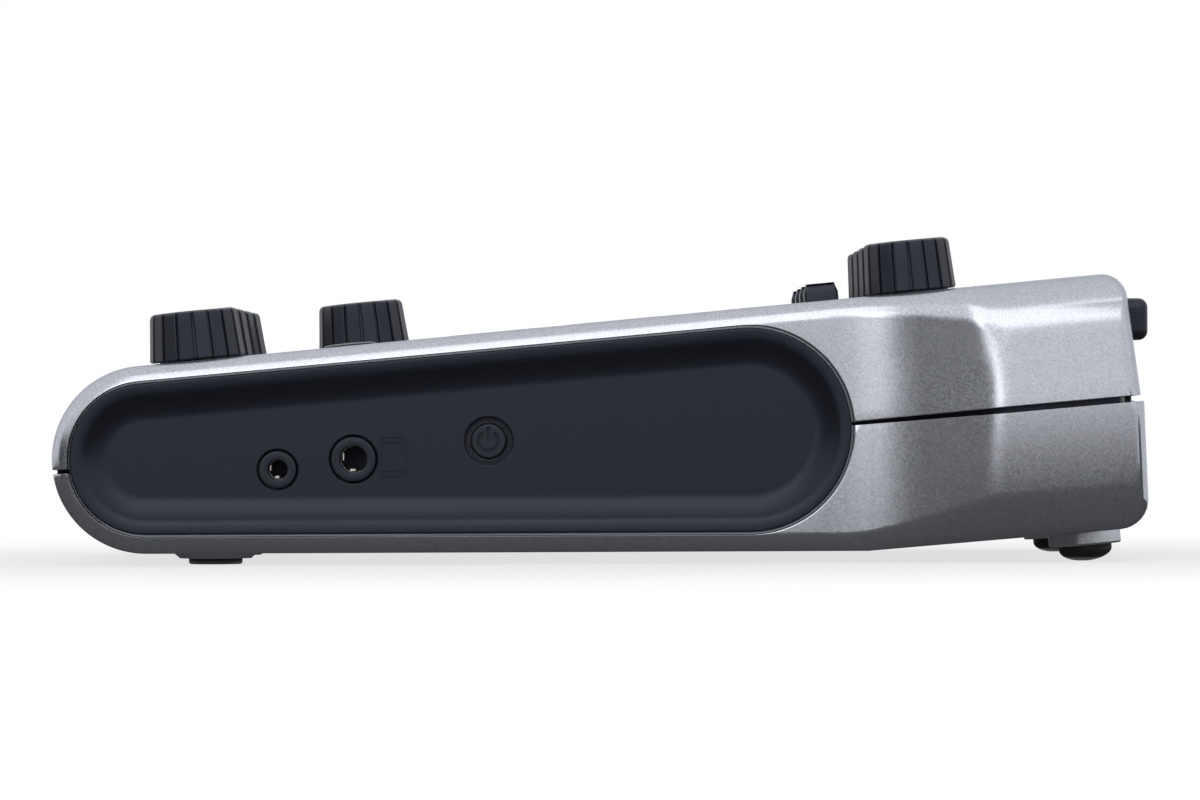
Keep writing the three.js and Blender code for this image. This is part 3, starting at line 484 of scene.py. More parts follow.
# %% [markdown]
# ### Screen glass
#
# Switched off, the display is a black sheet with a slightly lighter, greener field where the liquid
# crystal lies behind it. The field is a hard-edged box: two distances from its middle, compared with half
# its sides. Along the slope the piece's Y and Z both change, but the tilt is so small that Y serves.

# %% Screen glass
window = in_mm(width=40.4, length=32, corner=1.6, thickness=1.1, ledge=2)
window_x = -23.8 * mm
field_width = 31 * mm
field_length = 19 * mm
dust_size = 6 * mm
glass = Finish("window_glass", IOR=1.52)
across = abs(glass.axis("X") - window_x) < field_width / 2
along = abs(glass.axis("Y") - control_row) < field_length / 2
dusting = glass.noise(dust_size, detail=5)
glass.set(
    Base_Color=glass.blend(across * along, (0.004, 0.004, 0.005, 1), (0.013, 0.016, 0.014, 1)),
    Roughness=0.04 + dusting * 0.06,
)

# %% [markdown]
# ### Inside parts
#
# The boards, cells and contact plates stay as the frame made them and only get finishes. A circuit board
# is green lacquer over copper: a grid of cells, some lighter where a track runs below. The cells' wrap is
# a printed foil with a band at one end. Neither shows unless the bay is opened.

# %% Finishes inside
board = Finish("board_green", Roughness=0.35, IOR=1.5)
track_pitch = 9 * mm
track_relief = 0.03 * mm
track = board.node("ShaderNodeTexBrick", {}, {
    "Vector": board.place, "Scale": 1 / track_pitch, "Mortar Size": 0.03, "Color1": grey(0),
    "Color2": grey(0), "Mortar": grey(1)}, "Fac")
board.set(Base_Color=board.blend(track, (0.006, 0.055, 0.028, 1), (0.02, 0.13, 0.06, 1)))
board.relief(track, track_relief)

wrap = Finish("cell_wrap", Metallic=0.25, IOR=1.5)
band_start = 12 * mm
foil_grain = 3 * mm
band = wrap.axis("X") > band_start
wrap.set(
    Base_Color=wrap.blend(band, (0.03, 0.075, 0.14, 1), (0.32, 0.33, 0.34, 1)),
    Roughness=0.28 + wrap.noise(foil_grain) * 0.12,
)

module = Finish("display_metal", Metallic=0.8)
rolled_grain = 0.3 * mm
rolled_relief = 0.01 * mm
rolled = module.noise(rolled_grain)
module.set(Base_Color=module.blend(rolled, grey(0.28), grey(0.42)), Roughness=0.3 + rolled * 0.2)
module.relief(rolled, rolled_relief)

kept_nodes = {
    "board_green": ("main_board", "volume_board", "gain_board"),
    "cell_wrap": ("battery_1", "battery_2"),
    "display_metal": ("display_module",),
    "contact_nickel": ("battery_contact_left", "battery_contact_right"),
}
for finish, names in kept_nodes.items():
    for name in names:
        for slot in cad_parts[name].material_slots:
            slot.material = finishes[finish]
print("kept nodes:", ", ".join(name for names in kept_nodes.values() for name in names))

# %% [markdown]
# ## From shape to piece
#
# A finished piece is an object that lies at the origin with its place in its mesh. It rides on a body of
# the frame and may stand for a plain node of it. Faces are shaded smooth, and edges sharper than an angle
# stay crisp. A Weighted Normal modifier lets wide faces decide the shading at their edges, which keeps
# flat plastic flat beside its small roundings.

# %% A piece
made_pieces = []


def piece(name, shape, finish, body="case", stands_for=(), slot=None, crisp=40 * degree, even=True):
    """Ties a shape to the frame. The slot is not used."""
    slot = slot or finish
    for face in shape.faces:
        face.smooth = True
    made = as_object(name, shape)
    made.data.materials.append(finishes[finish])
    made.data.set_sharp_from_angle(angle=crisp)
    if even:
        shading = made.modifiers.new("even_faces", "WEIGHTED_NORMAL")
        shading.keep_sharp = True
    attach(made, body)
    if stands_for:
        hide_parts(*stands_for)
    made_pieces.append(made)
    print(f"{name}: {len(made.data.polygons)} faces")


def moving(name, shape, finish, node, **options):
    """A piece that moves with a node's body and stands for that node."""
    piece(name, shape, finish, node, [node], **options)


# %% [markdown]
# ## The cases
#
# Both cases are cut from one smooth block, as the real moulds were. Seen from the side the block is a
# rolled nose, a sloped deck, a flat floor that rises behind a heel, and a leaning rear. Seen from above it
# is narrow in front and flares into a wider rear block. The block is a grid of stations along the outline
# by points round each section: an operator makes the grid, and a formula moves its points into place.
# The flare starts softly and ends in a tighter turn, which is what draws the bright edge in the paint. Near
# the deck that turn bends forward.

# %% Half of the side outline
nose_steps = 24
flare_steps = 44
corner_steps = 8
edge_steps = 12
rear_round_share = 0.28
clear_of_heel = 0.35 * mm


def facing(angle):
    return Vector((math.cos(angle), math.sin(angle)))


def meeting(point_a, angle_a, drawn_a, point_b, angle_b, drawn_b):
    """Where two straight faces meet, each given by a point and its facing, and drawn in."""
    normal_a, normal_b = facing(angle_a), facing(angle_b)
    reach_a = normal_a.dot(point_a) - drawn_a
    reach_b = normal_b.dot(point_b) - drawn_b
    cross = normal_a.x * normal_b.y - normal_a.y * normal_b.x
    return Vector((reach_a * normal_b.y - reach_b * normal_a.y,
                   normal_a.x * reach_b - normal_b.x * reach_a)) / cross


def flat_station(point, angle, share=1.0):
    return lambda inset, rounded: point - (inset + share * rounded) * facing(angle)


def nose_station(angle):
    centre = Vector((nose_y, nose_z))
    return lambda inset, rounded: centre + (nose_radius - inset - rounded) * facing(angle)


def rear_corner_station(start, face_angle, rear, lean, radius, angle):
    """A point of the corner between a long face and the rear. Drawn in past its radius, the corner
    becomes one sharp point. The rear takes only a share of what rounds the edges."""
    def drawn_at(inset, rounded):
        left = max(radius - inset - rounded, 0)
        centre = meeting(start, face_angle, inset + rounded + left,
                         rear, lean, inset + rear_round_share * rounded + left)
        return centre + left * facing(angle)
    return drawn_at


def outline_half(over, rear_y):
    """Stations from the nose tip over the deck, or under the floor, to the rear face. Each gives its
    point (y, z) for an inset and for how far the edge's rounding draws it in."""
    side = 1 if over else -1
    face_angle = side * math.pi / 2 + (deck_angle if over else heel_angle)
    nose_end = face_angle if over else 1.5 * math.pi
    lean = upper_rear_lean if over else -lower_rear_lean
    radius = rear_top_radius if over else rear_bottom_radius
    start = Vector((0, deck_middle_z)) if over else Vector((heel_y, underside_height))
    rear = Vector((rear_y, parting_at_rear_z))
    stations = []
    for step in range(nose_steps + 1):
        angle = math.pi + (nose_end - math.pi) * step / nose_steps
        stations.append(nose_station(angle))
    flares = [flare_start_y + flare_length * step / flare_steps for step in range(flare_steps + 1)]
    flares = [y for y in flares if abs(y - heel_y) > clear_of_heel]
    for y in sorted([heel_y, *flares]):
        flat = not over and y <= heel_y
        angle = -math.pi / 2 if flat else face_angle
        slope = deck_angle if over else heel_angle
        rise = 0 if flat else (y - start.x) * math.tan(slope)
        stations.append(flat_station(Vector((y, start.y + rise)), angle))
    for step in range(corner_steps + 1):
        angle = face_angle + (lean - face_angle) * step / corner_steps
        stations.append(rear_corner_station(start, face_angle, rear, lean, radius, angle))
    stations.append(flat_station(rear, 0, rear_round_share))
    return stations


print("stations on each half:", len(outline_half(True, upper_rear_y)))

# %% The flare's course
ease_in = 0.54
ease_out = 0.13
flare_slope = 1 / (1 - ease_in / 2 - ease_out / 2)


def flare_share(y):
    """How far the body has flared, from 0 in front to 1 in the rear block."""
    along = min(max((y - flare_start_y) / flare_length, 0), 1)
    if along < ease_in:
        return flare_slope * along ** 2 / (2 * ease_in)
    if along > 1 - ease_out:
        return 1 - flare_slope * (1 - along) ** 2 / (2 * ease_out)
    return flare_slope * (along - ease_in / 2)


def flared(front, rear, y):
    return front + (rear - front) * flare_share(y)


print("the flare is half done at y =",
      round(next(y for y in range(30, 60) if flare_share(y * mm) > 0.5)), "mm")

# %% [markdown]
# ### Sides that lean
#
# The rear block's sides aren't quite upright. Over the parting line they lean in by a few degrees, so
# that the case leaves its mould, and under it they curl in like a barrel. It is little to measure but much
# to see: the upper half mirrors the lights and the lower half fades into the dark below the horizon. The
# long side faces are first cut into strips along the parting line, so that they can take the curve.

# %% The sides' lean
upper_draft = math.tan(3.5 * degree)
lower_barrel = 1 * mm
turn_bend = 3.4 * mm
bend_from = 1 * mm
bend_height = 13 * mm
side_facing = 0.8
block_weld = 0.0005 * mm
strip_lifts = [lift * mm for lift in (-9, -7.5, -6, -4.5, -3, -1.5, 0, 2, 4, 6, 8, 10)]
front_slope = (parting_knee_z - parting_nose_z) / (parting_knee_y + half_depth)


def parting_height(y):
    slope = parting_rear_slope if y > parting_knee_y else front_slope
    return parting_knee_z + (y - parting_knee_y) * slope


def side_lean(y, z):
    """How far a side leans in at a place."""
    over = z - parting_height(y)
    if over > 0:
        return flare_share(y) * upper_draft * over
    fallen = -over / (parting_height(y) - floor_height(y))
    return flare_share(y) * lower_barrel * fallen ** 2


def floor_height(y):
    return underside_height + max(y - heel_y, 0) * math.tan(heel_angle)


def bent(y, z):
    """How far the flare has come where its turn bends forward, near the deck."""
    over = max(z - parting_height(y) - bend_from, 0)
    return flare_share(y + flare_share(y) * turn_bend * (over / bend_height) ** 2)


print("sides lean in by", round(side_lean(half_depth, deck_middle_z) / mm, 2), "mm at the deck")

# %% The body as a block
def body_block(inset, front_inset, rear_inset, rear_y):
    """The body drawn in all round by one inset, and at the sides by others."""
    halves = [outline_half(over, rear_y) for over in (True, False)]
    points_round = 4 * (edge_steps + 1)
    shape = bmesh.new()
    bmesh.ops.create_grid(shape, x_segments=len(halves[0]) - 1, y_segments=points_round, size=1)
    shape.verts.ensure_lookup_table()
    for index, vert in enumerate(shape.verts):
        corner, station = divmod(index, len(halves[0]))
        quadrant, step = divmod(corner % points_round, edge_steps + 1)
        side = (-1, 1, 1, -1)[quadrant]
        drawn_at = halves[quadrant // 2][station]
        middle = drawn_at(0, 0)
        radius = max(flared(edge_radius, shoulder_radius, middle.x) - inset, edge_radius / 4)
        width = (flared(front_half_width, rear_half_width, middle.x)
                 - flared(front_inset, rear_inset, middle.x))
        turn = (step if quadrant % 2 else edge_steps - step) / edge_steps * math.pi / 2
        point = drawn_at(inset, radius * (1 - math.cos(turn)))
        vert.co = (side * (width - radius + radius * math.sin(turn)), point.x, point.y)
    bmesh.ops.remove_doubles(shape, verts=shape.verts, dist=block_weld)
    for lift in strip_lifts:
        sides = [face for face in shape.faces if abs(face.normal.x) > side_facing]
        edges = dict.fromkeys(edge for face in sides for edge in face.edges)
        verts = dict.fromkeys(vert for face in sides for vert in face.verts)
        bmesh.ops.bisect_plane(
            shape, geom=[*verts, *edges, *sides], dist=block_weld,
            plane_co=(0, parting_knee_y, parting_knee_z + lift), plane_no=(0, -parting_rear_slope, 1))
    flare_width = rear_half_width - rear_inset - front_half_width + front_inset
    for vert in shape.verts:
        reach, y, z = abs(vert.co.x), vert.co.y, vert.co.z
        reach += flare_width * (bent(y, z) - flare_share(y)) - side_lean(y, z)
        vert.co.x = math.copysign(reach, vert.co.x)
    bmesh.ops.recalc_face_normals(shape, faces=shape.faces)
    return shape


def hollow(extra):
    return body_block(wall + extra, side_wall + extra, rear_side_wall + extra, upper_rear_y)


outer = body_block(0, 0, 0, upper_rear_y)
print("the block:", len(outer.faces), "faces, open edges:",
      sum(not edge.is_manifold for edge in outer.edges))
outer.free()

# %% [markdown]
# ### The parting line
#
# The upper case meets the lower one along a line that climbs slowly over the side panels, bends at a knee
# where the flare starts, and goes on to the rear. A block above that line, made by raising its outline
# sideways, keeps the upper case and cuts the lower one. Lifting it by half the groove leaves a dark slot
# between them, which is a little wider at the rear. A dark inner lip closes the slot from behind.

# %% Everything over the parting line
groove_nose = 0.6 * mm
groove_knee = 0.5 * mm
groove_rear = 0.86 * mm
groove_lag = 0.3 * mm
groove_opened_y = flare_start_y + flare_length + groove_lag
near_groove = 0.01 * mm


def half_groove(y):
    """Half the slot's width: it opens up behind the knee."""
    if y < parting_knee_y:
        share = (y + half_depth) / (parting_knee_y + half_depth)
        return (groove_nose + (groove_knee - groove_nose) * share) / 2
    share = min((y - parting_knee_y) / (groove_opened_y - parting_knee_y), 1)
    return (groove_knee + (groove_rear - groove_knee) * share) / 2


def parting_edge(y, lift, side):
    return y, parting_height(y) + lift + side * half_groove(y)


def over_parting(lift, side):
    """Everything over the parting line, lifted by a height. The side, 1 or -1, adds half the groove."""
    far = half_depth + overrun
    corners = [parting_edge(y, lift, side)
               for y in (-half_depth, parting_knee_y, groove_opened_y, far)]
    shape = polygon([(-far, corners[0][1]), *corners, (far, far), (-far, far)])
    across = rear_half_width + overrun
    return placed(pile(shape, [(-across, 0), (across, 0)]), to_right)


def on_parting(side):
    """Tells whether an edge lies on one side of the groove."""
    def lies(edge):
        heights = [parting_edge(max(vert.co.y, -half_depth), 0, side)[1] for vert in edge.verts]
        return all(abs(vert.co.z - height) < near_groove for vert, height in zip(edge.verts, heights))
    return lies


# %% [markdown]
# ### Side panel outline
#
# Each side panel is the hull of two circles, a small one round the nose and a larger one in front of the
# flare. Two spins of a single vertex draw the arcs, and the straight edges between their ends close them.

# %% The outline of a side panel
panel_front = {"y": nose_y, "z": 15.2 * mm, "radius": 10.8 * mm}
panel_rear = {"y": parting_knee_y - 14.55 * mm, "z": 19 * mm, "radius": 14.55 * mm}
panel_sink = 0.2 * mm
panel_floor = 1.8 * mm
panel_lip = 1.7 * mm
panel_dish = 1.9 * mm
panel_ramp = 3.8 * mm
panel_face_x = front_half_width - panel_sink
panel_floor_x = panel_face_x - panel_dish
pocket_x = panel_floor_x - panel_floor - gap


def panel_plate():
    """The hull of the two circles as one flat face, with Y across and Z up."""
    span_y, span_z = panel_rear["y"] - panel_front["y"], panel_rear["z"] - panel_front["z"]
    lean = math.atan2(span_z, span_y)
    half = math.acos((panel_front["radius"] - panel_rear["radius"]) / math.hypot(span_y, span_z))
    shape = bmesh.new()
    ends, steps = [], 40
    for circle, start, turn in ((panel_rear, -half, 2 * half), (panel_front, half, math.tau - 2 * half)):
        centre = Vector((circle["y"], circle["z"], 0))
        first = shape.verts.new(centre + circle["radius"] * facing(lean + start).to_3d())
        arc = bmesh.ops.spin(shape, geom=[first], cent=centre, axis=(0, 0, 1), angle=turn, steps=steps)
        last = next(item for item in arc["geom_last"] if isinstance(item, bmesh.types.BMVert))
        ends.append((first, last))
    for (_, last), (first, _) in zip(ends, reversed(ends)):
        shape.edges.new((last, first))
    bmesh.ops.contextual_create(shape, geom=shape.edges[:])
    return shape


sample = panel_plate()
print("panel outline:", len(sample.faces), "face,", len(sample.verts), "points")
sample.free()

# %% [markdown]
# ## Holes in the deck
#
# Every dial, key and slider comes through its own hole. A moulded hole never has a knife edge, so each
# cutter flares out just under the surface and leaves a small round lip round the hole.

# %% Deck cutters
hole_lip = 0.22 * mm
volume_knob = in_mm(base=6.9, top=6.35, height=6.9)
gain_knob = in_mm(base=6.55, top=6.15, height=7.25)
shaft_radius = 3 * mm
mute = in_mm(width=9.6, length=6, corner=1.6, proud=0.05)
pad = in_mm(width=19.6, length=15, corner=2, proud=0.05)
pad_pitch_across = 22.4 * mm
pad_pitch_along = 17 * mm
pad_centre_x = 22.2 * mm
transport_radius = 3.75 * mm
transport_proud = 0.45 * mm
slider = in_mm(width=4, length=4.9, corner=0.5, top=4, proud=2.6)
slider_travel = 2.2 * mm

volume_places = [(x, volume_row) for x in columns]
gain_places = [(x, gain_row) for x in columns]
level_place = (columns[0], level_row)
mute_places = [(x, mute_row) for x in columns]
switch_places = [(x, switch_row) for x in columns]
transport_places = [(x, level_row) for x in columns[1:]]
pad_places = [(pad_centre_x + across * pad_pitch_across, control_row + along * pad_pitch_along)
              for across, along in ((-0.5, 0.5), (0.5, 0.5), (-0.5, -0.5), (0.5, -0.5))]


def plate_of(size, steps=6):
    """A rounded plate with a piece's own sizes."""
    return rounded_plate(size["width"], size["length"], size["corner"], steps)


def deck_hole(plate, x, y, depth=wall + overrun):
    levels = [(-depth, -gap), *rounding(0, hole_lip, -gap, outward=True), (overrun, -gap - hole_lip)]
    return placed(pile(plate, levels), on_deck @ at(x, y))


deck_holes = [deck_hole(disc(shaft_radius), x, y) for x, y in (*volume_places, level_place, *gain_places)]
deck_holes += [deck_hole(plate_of(mute), x, y) for x, y in mute_places]
deck_holes += [deck_hole(plate_of(pad), x, y) for x, y in pad_places]
deck_holes += [deck_hole(disc(transport_radius), x, y) for x, y in transport_places]
for x, y in switch_places:
    slot_plate = rounded_plate(slider["width"] + slider_travel, slider["length"], slider["corner"])
    deck_holes.append(deck_hole(slot_plate, x, y))
deck_holes.append(deck_hole(plate_of(window, 8), window_x, control_row, window["thickness"] + gap))
deck_holes.append(placed(pile(plate_of(window), [(-wall - overrun, window["ledge"]), (0, window["ledge"])]),
                         on_deck @ at(window_x, control_row)))
print(len(deck_holes), "deck cutters")

# %% [markdown]
# ## Jacks and sockets
#
# A jack is a collar that fills a hole, with a bore down its middle and a block behind that holds the
# contacts. The same sizes, grown by the clearance, make the cutter for the panel and the case, so a jack
# and its hole can't drift apart. Places on a side panel are measured along it, from the front circle.

# %% Jack sizes and places
panel_span = panel_rear["y"] - panel_front["y"]
adapter_y = panel_front["y"] + 0.2183 * panel_span
phone_pitch = 10.8 * mm
power_y = panel_front["y"] + 0.5681 * panel_span
usb_y = panel_front["y"] + 0.2311 * panel_span
card_y = panel_front["y"] + 0.6618 * panel_span
adapter_jack = {"y": adapter_y, **in_mm(z=13.6, radius=2.65, bore=1.41)}
phone_jack = {"y": adapter_y + phone_pitch, **in_mm(z=15.05, radius=3.17, bore=1.93)}
headphone_jack = in_mm(z=15.1, radius=3.17, bore=1.93, sink=0.35)
jack_block = in_mm(width=8.6, height=6.4, length=13, corner=0.6)
jack_bore_depth = 14 * mm
jack_proud = 0.2 * mm
side_collar = panel_floor_x + jack_proud - (inner_half_width - gap)
nose_face_y = -half_depth + headphone_jack["sink"]
nose_collar = -nose_face_y - (nose_radius - wall - nose_y) + 2 * gap


def jack_cutter(jack, collar_length, matrix):
    """The room that a jack needs, clearance included. Its face is at height 0."""
    collar = pile(disc(jack["radius"]), [(-collar_length - 2 * gap, -gap), (overrun, -gap)])
    plate = rounded_plate(jack_block["width"], jack_block["height"], gap)
    block = pile(plate, [(-collar_length - jack_block["length"] - gap, -gap), (-collar_length + gap, -gap)])
    return [placed(collar, matrix), placed(block, matrix)]


def in_side(jack):
    return to_right @ at(jack["y"], jack["z"], panel_floor_x + jack_proud)


def in_nose(x):
    return at(x, nose_face_y, headphone_jack["z"]) @ to_nose


print("adapter inlet at y", round(adapter_y / mm, 1), "and phone inlet at", round(phone_jack["y"] / mm, 1))

# %% Power button sizes
power = {"y": power_y, **in_mm(z=17.55, radius=2.45, recess=3.44, depth=1.45)}
power_travel = 0.5 * mm
stem_radius = 1.2 * mm

# %% USB and card sizes
usb = in_mm(width=9, height=3.3, corner=1.6, skin=0.5, depth=9, bore=7, z=14)
card = in_mm(width=27, height=4, corner=0.8, depth=17, z=17.5)
card_mouth = in_mm(width=24.6, height=2.3, corner=0.4, depth=15)


def face_of(size, steps=6):
    """A rounded plate for a piece that faces a side or the rear."""
    return rounded_plate(size["width"], size["height"], size["corner"], steps)


def left_hole(size, y):
    hole = pile(face_of(size), [(0, -gap), (front_half_width + overrun, -gap)])
    return placed(hole, to_left @ at(y, size["z"]))


# %% Microphone socket sizes
socket_setback = 2.85 * mm
housing_setback = 6.45 * mm
gain_pot_reach = 7.4 * mm
pot_clearance = 3.4 * mm
socket_face_y = half_depth - socket_setback
socket_radius = 10.6 * mm
socket_bore = in_mm(radius=9.5, insert=7.3, floor=5, sink=1.6)
pin = in_mm(radius=1.25, place=4.2, floor=1.4, countersink=0.3)
pin_angles = [35 * degree, 145 * degree, 270 * degree]
latch = in_mm(width=7.4, height=6, corner=1.5, length=11.5)
latch_drop = 4 * mm
latch_travel = 1.2 * mm
latch_high = deck_middle_z + half_depth * math.tan(deck_angle) - latch_drop
latch_low = latch_high - latch["height"]
latch_middle = (latch_low + latch_high) / 2
socket_z = latch_low - socket_bore["radius"]
socket_depth = socket_face_y - (gain_row + gain_pot_reach) - pot_clearance
housing_rear = half_depth - housing_setback
latch_well_y = half_depth - latch["length"] - latch_travel - gap


def socket_cutters(x):
    barrel = pile(disc(socket_radius, 64), [(-socket_depth - gap, -gap), (overrun, -gap)])
    well = pile(face_of(latch), [(0, -gap), (half_depth + overrun - housing_rear, -gap)])
    return [placed(barrel, at(x, socket_face_y, socket_z) @ to_rear),
            placed(well, at(x, housing_rear, latch_middle) @ to_rear)]


print("sockets", round(socket_z / mm, 2), "mm and latches", round(latch_middle / mm, 2), "mm up")

# %% Cutters that both cases share
pocket_straight_to = panel_face_x - 0.2 * mm


def shared_cutters():
    """Fresh cutters each time, because a cut uses them up."""
    cutters = []
    for to_side in (to_right, to_left):
        levels = [(pocket_x, -gap), (pocket_straight_to, -gap),
                  *rounding(front_half_width, hole_lip, -gap, outward=True),
                  (front_half_width + overrun, -gap - hole_lip)]
        cutters.append(placed(pile(panel_plate(), levels), to_side))
    for jack in (adapter_jack, phone_jack):
        cutters += jack_cutter(jack, side_collar, in_side(jack))
    for x in columns:
        cutters += jack_cutter(headphone_jack, nose_collar, in_nose(x))
        cutters += socket_cutters(x)
    button = pile(disc(power["radius"]), [(pocket_x - power_travel - gap, -gap), (rear_half_width, -gap)])
    stem = pile(disc(stem_radius), [(0, -gap), (rear_half_width, -gap)])
    cutters += [placed(shape, to_right @ at(power["y"], power["z"])) for shape in (button, stem)]
    cutters += [left_hole(usb, usb_y), left_hole(card, card_y)]
    return cutters


# %% [markdown]
# ### Cutting the cases
#
# The block less its hollow gives the walls. The upper case keeps what lies over the parting line and gets
# four short posts for the boards. The sharp edges along the parting are rounded before the holes are cut,
# because a bevel runs best along a clean edge.

# %% The upper case
parting_round = 0.16 * mm
board_depth = 7.5 * mm
post_radius = 1.8 * mm

upper = cut(body_block(0, 0, 0, upper_rear_y), [hollow(0)])
upper = combined(upper, "INTERSECT", [over_parting(0, 1)])
soften(upper, parting_round, chosen=on_parting(1))
posts = [placed(pile(disc(post_radius, 24), [(-board_depth + gap, 0), (-wall / 2, 0)]),
                on_deck @ at(side * column_pitch, row))
         for side in (-1, 1) for row in (level_row, mute_row)]
upper = cut(combined(upper, "UNION", posts), [*deck_holes, *shared_cutters()])
piece("silver_top_case", upper, "silver_paint", stands_for=["upper_shell"])

# %% [markdown]
# ### The lower case
#
# The floor carries the battery bay, two round plinths under the front feet and two bosses under the rear
# ones. The pits for the case screws are cut into it from below. The lip that reaches up behind the parting
# is a piece of its own here, in dark plastic, so that it stays dark in the slot.

# %% Sizes under the lower case
cell_radius = 7.25 * mm
cell_length = 50.5 * mm
bay_y = 0.1278 * half_depth
bay_wall = 1.5 * mm
contact_thickness = 0.8 * mm
door_thickness = 1.8 * mm
door_top = underside_height + door_thickness
cell_z = door_top + gap + cell_radius
bay_half_length = cell_length / 2 + contact_thickness + 2 * gap
bay_half_depth = cell_radius + gap / 2 + cell_radius + gap
bay_top = cell_z + cell_radius + gap
foot_x = 35.9 * mm
front_foot_setback = 22.75 * mm
front_foot_y = front_foot_setback - half_depth
plinth = in_mm(top=6.1, bottom=5.15, edge=0.15, step=0.1, drawn=0.05)
front_pad = in_mm(radius=3.85, height=0.85)
boss_radius = 5.2 * mm
boss_height = 2.05 * mm
boss_edge = 0.3 * mm
boss_setback = 8.95 * mm
boss_along = (half_depth - boss_setback - heel_y) / math.cos(heel_angle)
heel_foot = in_mm(radius=3.8, rim=0.55, dome=2.25)
pit_radius = 2.9 * mm
pit_depth = 1.1 * mm
pit_places = [(side * across * front_half_width, along * half_depth)
              for across, along in ((0.8317, -0.4856), (0.8317, 0.3067), (0.3564, 0.639))
              for side in (-1, 1)]


def block(half_x, half_y, low, high, y=0.0):
    corner = 0.5 * mm
    plate = rounded_plate(2 * half_x, 2 * half_y, corner, steps=3)
    return placed(pile(plate, [(low, 0), (high, 0)]), at(0, y))


print("bay", round(2 * bay_half_length / mm, 1), "by", round(2 * bay_half_depth / mm, 1), "mm")

# %% The lower case
lower = cut(body_block(0, 0, 0, lower_rear_y), [hollow(0), over_parting(0, -1)])
soften(lower, parting_round, chosen=on_parting(-1))
bay = block(bay_half_length + bay_wall, bay_half_depth + bay_wall, underside_height + wall / 2,
            bay_top + bay_wall, bay_y)
plinth_taper = plinth["top"] - plinth["bottom"]
footings = []
for side in (-1, 1):
    levels = [(front_pad["height"], plinth_taper),
              (front_pad["height"] + plinth["edge"], plinth_taper - plinth["edge"]),
              (underside_height - plinth["step"], plinth["drawn"]), (underside_height, 0),
              (underside_height + wall / 2, 0)]
    footings.append(placed(pile(disc(plinth["top"], 64), levels), at(side * foot_x, front_foot_y)))
    levels = [(-wall / 2, 0), *rounding(boss_height, boss_edge)]
    boss = placed(pile(disc(boss_radius, 64), levels), Matrix.Scale(-1, 4, (0, 0, 1)))
    footings.append(placed(boss, on_heel @ at(side * foot_x, boss_along)))
lower = combined(lower, "UNION", [bay, *footings])
pits = [placed(pile(disc(pit_radius, 32), [(-overrun, 0), (floor_height(y) + pit_depth, 0)]), at(x, y))
        for x, y in pit_places]
room = block(bay_half_length, bay_half_depth, underside_height - overrun, bay_top, bay_y)
lower = cut(lower, [room, *pits, *shared_cutters()])
piece("silver_bottom_case", lower, "silver_paint", stands_for=["lower_shell"])

# %% The dark lip behind the parting
lip = cut(hollow(gap), [hollow(gap + lip_thickness), over_parting(lip_height, 0)])
lip = combined(lip, "INTERSECT", [over_parting(-lip_height, 0)])
piece("parting_lip", cut(lip, shared_cutters()), "socket_plastic")

# %% [markdown]
# ## The side panels
#
# Both dark panels are dished like a shallow tray: a flat lip inside the silver edge, then a soft ramp that
# falls to a flat floor. A straight bevel would give one hard tone. The real ramp is steep beside the lip
# and eases into the floor, so its levels follow a power curve, and the tone changes slowly across it.

# %% Panel shape
panel_edge = 0.3 * mm
lip_round = 0.3 * mm
jack_hole_lip = 0.12 * mm
recess_lip = 0.2 * mm
ramp_steps = 14
ramp_power = 2.1


def dished_panel():
    back = panel_floor_x - panel_floor
    levels = [(back, 0), (panel_face_x - panel_edge, 0)]
    levels += rounding(panel_face_x, panel_edge)[1:]
    levels.append((panel_face_x, panel_lip - lip_round))
    for step in range(1, ramp_steps + 1):
        share = step / ramp_steps
        fallen = panel_dish * (1 - (1 - share) ** ramp_power)
        levels.append((panel_face_x - fallen, panel_lip + panel_ramp * share))
    return pile(panel_plate(), levels)


def panel_hole(plate, place_y, place_z, depth_x, lip=jack_hole_lip, grown=gap):
    """A hole in the panel's floor, down to a depth, with a small round lip."""
    levels = [(depth_x, -grown), *rounding(panel_floor_x, lip, -grown, outward=True),
              (front_half_width + overrun, -grown - lip)]
    return placed(pile(plate, levels), at(place_y, place_z))


# %% The right panel
holes = [panel_hole(disc(jack["radius"]), jack["y"], jack["z"], 0) for jack in (adapter_jack, phone_jack)]
recess_depth = panel_floor_x - power["depth"]
holes.append(panel_hole(disc(power["recess"], 64), power["y"], power["z"], recess_depth, recess_lip, 0))
holes.append(placed(pile(disc(power["radius"]), [(0, -gap), (front_half_width + overrun, -gap)]),
                    at(power["y"], power["z"])))
right_panel = placed(cut(dished_panel(), holes), to_right)
piece("right_dish_panel", right_panel, "panel_plastic", stands_for=["side_panel_right"])

# %% The left panel
holes = [panel_hole(face_of(size), y, size["z"], 0) for size, y in ((usb, usb_y), (card, card_y))]
left_panel = placed(cut(dished_panel(), holes), to_left)
piece("left_dish_panel", left_panel, "panel_plastic", stands_for=["side_panel_left"])

# %% [markdown]
# ### A pictogram in relief
#
# Beside the larger jack a small outline of a handheld device is raised from the panel, about a quarter of a
# millimetre high and in the same plastic. It shows only by the light on its edges. A frame is a plate whose
# middle is inset and deleted before the rest gets its height.

# %% A pictogram in relief
def frame_plate(width, length, corner, line):
    """A rounded plate with its middle taken out."""
    shape = rounded_plate(width, length, corner)
    shape.faces.ensure_lookup_table()
    middle = shape.faces[0]
    bmesh.ops.inset_region(shape, faces=[middle], use_boundary=True, use_even_offset=True, thickness=line)
    bmesh.ops.delete(shape, geom=[middle], context="FACES_ONLY")
    return shape


